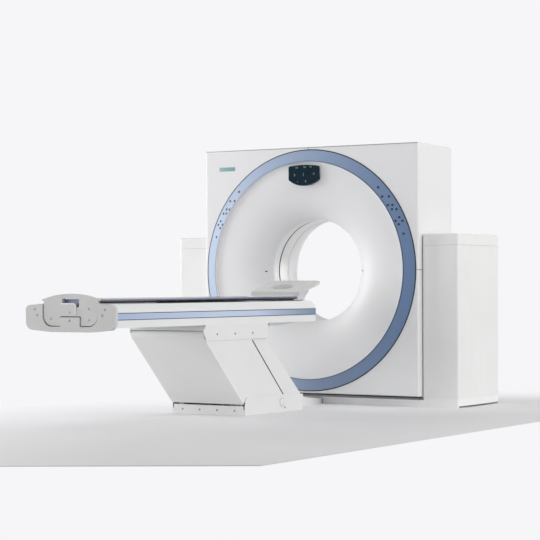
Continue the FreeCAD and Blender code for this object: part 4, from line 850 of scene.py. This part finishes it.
class SCANNER_OT_trim(bpy.types.Operator):
    """Cover strips, joint seals, grip lip and liner, head pad, blank badge and pivot caps"""
    bl_idname = "scanner.trim"
    bl_label = "Trim"

    def execute(self, context):
        s = sizes()
        cover = -s.cover_y
        for word, side in SIDES:
            inner_x, outer_x = sorted((side * 0.2684, side * 0.2695))
            edge = strip((inner_x, 0.3135, -0.268), (outer_x, 0.3218, 0.250), 0.0003, (ARM_LEAN, 0, 0), PIN)
            piece(edge, f"{word}_cover_strip", "front_arm", "rubber")
            cap = stud([(26, 0), (26, 1.2), (23.5, 2.4), (12, 3.2), (2, 3.4)], 48)
            # grey rim round the cap: painted shade of the groove round it
            rim = stud([(26.2, 0), (28.5, 0), (28.5, 0.7), (26.2, 0.7)], 48, True)
            place, way = Vector((side * 0.274, -1.051, 0.062)), Vector((side, 0, 0))
            piece(aimed(cap, place, way), f"{word}_pivot_cap", "base", "sheet")
            piece(aimed(rim, place, way), f"{word}_pivot_rim", "base", "seal")

        # name, slot, finish, two corners and edge radius of the straight trim on the gantry's front
        front = [
            ("top_joint_seal", "key_plastic", "seal", (-COVER_X, cover - 0.0003, TOP_JOINT_Z),
             (COVER_X, cover + 0.0010, 1.7600), 0.0003),
            ("upper_centre_seal", "key_plastic", "rubber",
             (-0.0018, cover - 0.0004, s.axis_z + s.ring_out_r + 0.002),
             (0.0018, cover + 0.0010, TOP_JOINT_Z), 0.0003),
            ("blank_badge", "blue_paint", "badge",
             (-0.728, cover - 0.0012, 1.616), (-0.598, cover, 1.643), 0.0004),
            # black strip in the gap under the lower panels: painted shade over the plinth
            ("lower_front_lip", "key_plastic", "rubber",
             (-COVER_X, -0.2030, 0.0605), (COVER_X, -0.1990, 0.0740), 0.001)]
        for name, slot, key, low, high, soft in front:
            piece(strip(low, high, soft), name, "gantry", key)
        # over the tops of the slots for the arm covers, on the couch's shoulders
        for word, side in SIDES:
            band = strip((-0.0064, -1.955, 0.0), (0.0064, -1.174, 0.0007), 0.0002,
                         (0, side * SHOULDER_LEAN, 0), (side * 0.26925, 0, 0.6804))
            piece(band, f"{word}_shoulder_strip", "couch", "couch")
        self.head_pad()
        self.grip()
        return {"FINISHED"}

    def head_pad(self):
        """Thin oval pad in the hollow of the sloping head plate, grey as painted shade of the hollow."""
        pad = stud([(50, -1), (50, 2.2), (48.5, 3.4), (44, 4), (4, 4.2)], 64)
        pad.scale = (1.46, 0.86, 1)
        settle(pad)
        pad.rotation_euler = (math.atan2(0.0277, 0.1), 0, 0)
        pad.location = (-0.012, -0.566, 0.7965)
        piece(settle(pad), "head_pad", "table", "pad")

    def grip(self):
        """Liner behind the grip slot and the raised lip round the corner of the pad below it; the lip is
        whiter than the pad, as a painted highlight on its edge.
        """
        liner = box((-0.064, -2.8726, 0.690), (0.068, -2.8500, 0.738))

        def open_front():
            pick(liner, "face", lambda c, f: c.y < -2.872)
            bpy.ops.mesh.delete(type="FACE")
            pick(liner, "edge", lambda c, e: c.y > -2.851)
            bpy.ops.mesh.bevel(offset=0.010, segments=5, affect="EDGES")

        editing(liner, open_front)
        modify(liner, "SOLIDIFY", thickness=0.002, offset=-1.0)
        piece(liner, "grip_liner", "table", "liner")

        def plate(low, high, corner_r):
            obj = box(low, high)

            def round_corner():
                pick(obj, "edge", lambda c, e: abs(c.x - high[0]) < 1e-5 and abs(c.z - high[2]) < 1e-5)
                bpy.ops.mesh.bevel(offset=corner_r, segments=8, affect="EDGES")

            editing(obj, round_corner)
            return obj

        # whiter raised lip: painted highlight on the pad's edge
        lip = plate((-0.0655, -2.9024, 0.650), (0.0425, -2.9000, 0.7165), 0.0185)
        cut_away(lip, plate((-0.0800, -2.9050, 0.600), (0.0345, -2.8950, 0.7085), 0.0110))
        modify(lip, "BEVEL", width=0.0006, segments=2, limit_method="ANGLE", angle_limit=math.radians(40))
        piece(lip, "grip_lip", "table", "moulding")


def screws(places, direction):
    """Domed heads with a cross recess, copied from one pattern to every place."""
    radius = sizes().screw_r
    r = radius / MM
    pattern = stud([(r, -1.5), (r, 0.8), (r * 0.85, 1.6), (r * 0.45, 2.0), (r * 0.25, 2.0)])
    long, wide, floor = radius * 0.55, radius * 0.16, 0.0008
    for x, y in ((long, wide), (wide, long)):
        cut_away(pattern, box((-x, -y, floor), (x, y, 0.004)))
    return joined(spread(pattern, [(place, direction) for place in places]))


class SCANNER_OT_screws(bpy.types.Operator):
    """Screw heads on the couch's end mouldings, yoke and base"""
    bl_idname = "scanner.screws"
    bl_label = "Screws"

    def execute(self, context):
        cap_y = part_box("foot_plate")[0].y + SINK
        shield_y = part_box("tabletop")[0].y - 0.025
        yoke_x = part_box("yoke")[1].x
        base_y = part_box("table_base")[0].y
        shield = [(-0.138, 0, 0.628), (-0.004, -0.003, 0.664), (0.132, 0, 0.683), (0.133, 0, 0.622)]
        rows = [
            ("foot_plate_screws", "couch", (0, -1, 0), [(x, cap_y, z) for x, z in cap_screws()]),
            ("foot_shield_screws", "table", (0, -1, 0), [(x, shield_y + y, z) for x, y, z in shield])]
        for word, side in SIDES:
            rows += [(f"yoke_{word}_screws", "couch", (side, 0, 0),
                      [(side * yoke_x, y, 0.516) for y in (-1.804, -1.603, -1.401)]),
                     (f"base_{word}_screw", "base", (side, 0, 0), [(side * 0.274, -1.017, 0.027)])]
        rows.append(("base_front_screws", "base", (0, -1, 0),
                     [(x, base_y, 0.030) for x in (-0.195, -0.065, 0.065, 0.195)]))
        for name, body, direction, places in rows:
            piece(screws(places, direction), name, body, "screw")
        return {"FINISHED"}


# -------- floor, light and camera
BACKDROP = linear("#F6F6F8") + (1.0,)
FLOOR_EDGE_X = 2.023
FLOOR_REACH = 60.0
FLOOR_NEAR = 8.46                   # distance of the podium's near edge before the camera
# centre of the painted shade that the podium's colour gives round the machine
FLOOR_SHADE_CENTRE = (3.5, -2.5, 0.0)     # the podium is at its darkest round this point
CAMERA_PLACE = (6.5127, -11.2692, 0.8242)
CAMERA_ANGLES = (31.766, 0.4146, -0.1407)    # turned to the left, tilted up, rolled
CAMERA_LENS = 124.266
# name, place, aim, size, watts and beam angle in degrees
LAMPS = [("far_left_panel", (-8.0, -2.8, 2.6), (0.0, -0.5, 1.0), (3.4, 5.0), 430.0, 180),
         ("front_panel", (-2.0, -9.5, 1.3), (0.0, -0.5, 0.8), (5.0, 2.0), 125.0, 180),
         ("right_panel", (7.5, -0.5, 3.5), (0.5, -0.8, 0.6), (4.0, 4.0), 285.0, 180),
         ("rear_panel", (4.8, 6.5, 2.0), (-0.3, 0.1, 0.9), (4.0, 3.0), 30.0, 180),
         ("bore_panel", (0.30, 0.75, 1.00), (-0.35, 0.02, 1.00), (0.3, 0.3), 0.55, 80),
         ("top_panel", (0.0, -1.5, 6.5), (0.0, -1.0, 0.0), (6.0, 6.0), 50.0, 180)]


class SCANNER_OT_stage(bpy.types.Operator):
    """Pale floor, soft studio light and the camera"""
    bl_idname = "scanner.stage"
    bl_label = "Stage"

    def execute(self, context):
        self.floor()
        self.world()
        self.lamps()
        self.camera()
        return {"FINISHED"}

    def floor(self):
        """Podium top: it ends in edges before and beside the machine; painted shade darkens it round the
        machine, and it grows paler away from it.
        """
        floor = box((-FLOOR_REACH, -FLOOR_REACH, -0.004), (FLOOR_EDGE_X, FLOOR_REACH, 0.0))
        before = box((-FLOOR_REACH, -FLOOR_REACH, -0.1), (FLOOR_REACH, FLOOR_NEAR, 0.1))
        before.rotation_euler = (0, 0, math.radians(CAMERA_ANGLES[0]))
        before.location = (CAMERA_PLACE[0], CAMERA_PLACE[1], 0)
        cut_away(floor, settle(before))
        floor.name = "floor"
        # flat emulsion on board: no sheen, a long faint mottle
        material = bpy.data.materials.new("Matt white podium")
        material.use_nodes = True
        principled = material.node_tree.nodes["Principled BSDF"]
        principled.inputs["Roughness"].default_value = 0.75
        place = add_node(material, "ShaderNodeTexCoord").outputs["Object"]
        far = add_node(material, "ShaderNodeVectorMath", {"operation": "DISTANCE", 1: FLOOR_SHADE_CENTRE},
                       Vector=place).outputs["Value"]
        tone = add_node(material, "ShaderNodeValToRGB", Fac=noise(material, place, 900, 2.0))
        for element, factor in zip(tone.color_ramp.elements, (0.98, 1.02)):
            element.color = shade(colours().floor, factor)
        # painted shade: the floor's colour is darker near the machine and paler farther off
        shade_fade = add_node(material, "ShaderNodeMapRange", {"From Min": 2.8, "From Max": 4.8}, Value=far)
        pale = mixed_colour(material, shade_fade.outputs["Result"], tone.outputs["Color"], linear("#F8F8F9"))
        material.node_tree.links.new(pale, principled.inputs["Base Color"])
        fade = add_node(material, "ShaderNodeMapRange",
                        {"From Min": 3.7, "From Max": 5.4, "interpolation_type": "SMOOTHSTEP"}, Value=far)
        glow = add_node(material, "ShaderNodeEmission", {"Color": BACKDROP, "Strength": 1.0})
        shown_as(material, principled.outputs["BSDF"], glow.outputs["Emission"], "Material Output",
                 fade.outputs["Result"])
        floor.data.materials.append(material)

    def world(self):
        """Even white light; the backdrop's own grey-white is what the camera sees."""
        world = bpy.data.worlds.new("Soft studio")
        bpy.context.scene.world = world
        world.use_nodes = True
        light = world.node_tree.nodes["Background"]
        light.inputs["Color"].default_value = (1.0, 1.0, 1.0, 1.0)
        light.inputs["Strength"].default_value = 0.40
        white = add_node(world, "ShaderNodeBackground", {"Color": BACKDROP, "Strength": 1.0})
        shown_as(world, light.outputs["Background"], white.outputs["Background"], "World Output")

    def lamps(self):
        """Large soft panels round the machine and overhead, and a small one behind the bore."""
        for name, place, target, size, watts, beam in LAMPS:
            bpy.ops.object.select_all(action="DESELECT")
            bpy.ops.object.light_add(type="AREA", location=place)
            lamp = bpy.context.active_object
            lamp.name = name
            lamp.data.shape = "RECTANGLE"
            lamp.data.size, lamp.data.size_y = size
            lamp.data.energy = watts
            lamp.data.spread = math.radians(beam)
            lamp.rotation_euler = (Vector(target) - Vector(place)).to_track_quat("-Z", "Y").to_euler()

    def camera(self):
        """The camera that took the picture, as solved from it."""
        azimuth, tilt, roll = (math.radians(a) for a in CAMERA_ANGLES)
        turn = (Matrix.Rotation(azimuth, 4, "Z") @ Matrix.Rotation(math.pi / 2 + tilt, 4, "X")
                @ Matrix.Rotation(roll, 4, "Z"))
        data = bpy.data.cameras.new("photo_camera")
        data.sensor_fit = "HORIZONTAL"
        data.sensor_width = 36.0
        data.lens = CAMERA_LENS
        data.clip_end = 200.0
        camera = bpy.data.objects.new("photo_camera", data)
        bpy.context.scene.collection.objects.link(camera)
        camera.matrix_world = Matrix.Translation(CAMERA_PLACE) @ turn
        bpy.context.scene.camera = camera


def shown_as(owner, lit, shown, output, factor=None):
    """Camera, reflections and clear materials see the shown shader, as far as the factor goes."""
    links = owner.node_tree.links
    rays = add_node(owner, "ShaderNodeLightPath").outputs
    total = rays["Is Camera Ray"]
    for operation, other in (("MAXIMUM", rays["Is Glossy Ray"]), ("MAXIMUM", rays["Is Transmission Ray"]),
                             ("MULTIPLY", factor)):
        if other is not None:
            step = add_node(owner, "ShaderNodeMath", {"operation": operation}, Value=total)
            links.new(other, step.inputs[1])
            total = step.outputs[0]
    mixed = add_node(owner, "ShaderNodeMixShader", Fac=total)
    links.new(lit, mixed.inputs[1])
    links.new(shown, mixed.inputs[2])
    links.new(mixed.outputs["Shader"], owner.node_tree.nodes[output].inputs["Surface"])


# -------- panel and registration
OPERATORS = [SCANNER_OT_finishes, SCANNER_OT_bore, SCANNER_OT_ring, SCANNER_OT_keys, SCANNER_OT_panels,
             SCANNER_OT_rear_cover, SCANNER_OT_display, SCANNER_OT_side_boxes, SCANNER_OT_couch,
             SCANNER_OT_trim, SCANNER_OT_screws, SCANNER_OT_stage]


class SCANNER_PT_tools(bpy.types.Panel):
    """Sidebar panel with the sizes, the colours and every operator"""
    bl_idname = "SCANNER_PT_tools"
    bl_label = "CT scanner"
    bl_space_type = "VIEW_3D"
    bl_region_type = "UI"
    bl_category = "CT scanner"

    def draw(self, context):
        for group in (context.scene.scanner_sizes, context.scene.scanner_colours):
            column = self.layout.column()
            for name in group.__annotations__:
                column.prop(group, name)
        for operator in OPERATORS:
            self.layout.operator(operator.bl_idname)


CLASSES = [ScannerSizes, ScannerColours] + OPERATORS + [SCANNER_PT_tools]


def register():
    for item in CLASSES:
        bpy.utils.register_class(item)
    bpy.types.Scene.scanner_sizes = PointerProperty(type=ScannerSizes)
    bpy.types.Scene.scanner_colours = PointerProperty(type=ScannerColours)


def unregister():
    del bpy.types.Scene.scanner_colours
    del bpy.types.Scene.scanner_sizes
    for item in reversed(CLASSES):
        bpy.utils.unregister_class(item)


def main():
    register()
    bpy.context.scene.view_settings.view_transform = "Standard"
    for operator in OPERATORS:
        getattr(bpy.ops.scanner, operator.bl_idname.split(".")[1])()


if __name__ == "__main__":
    main()
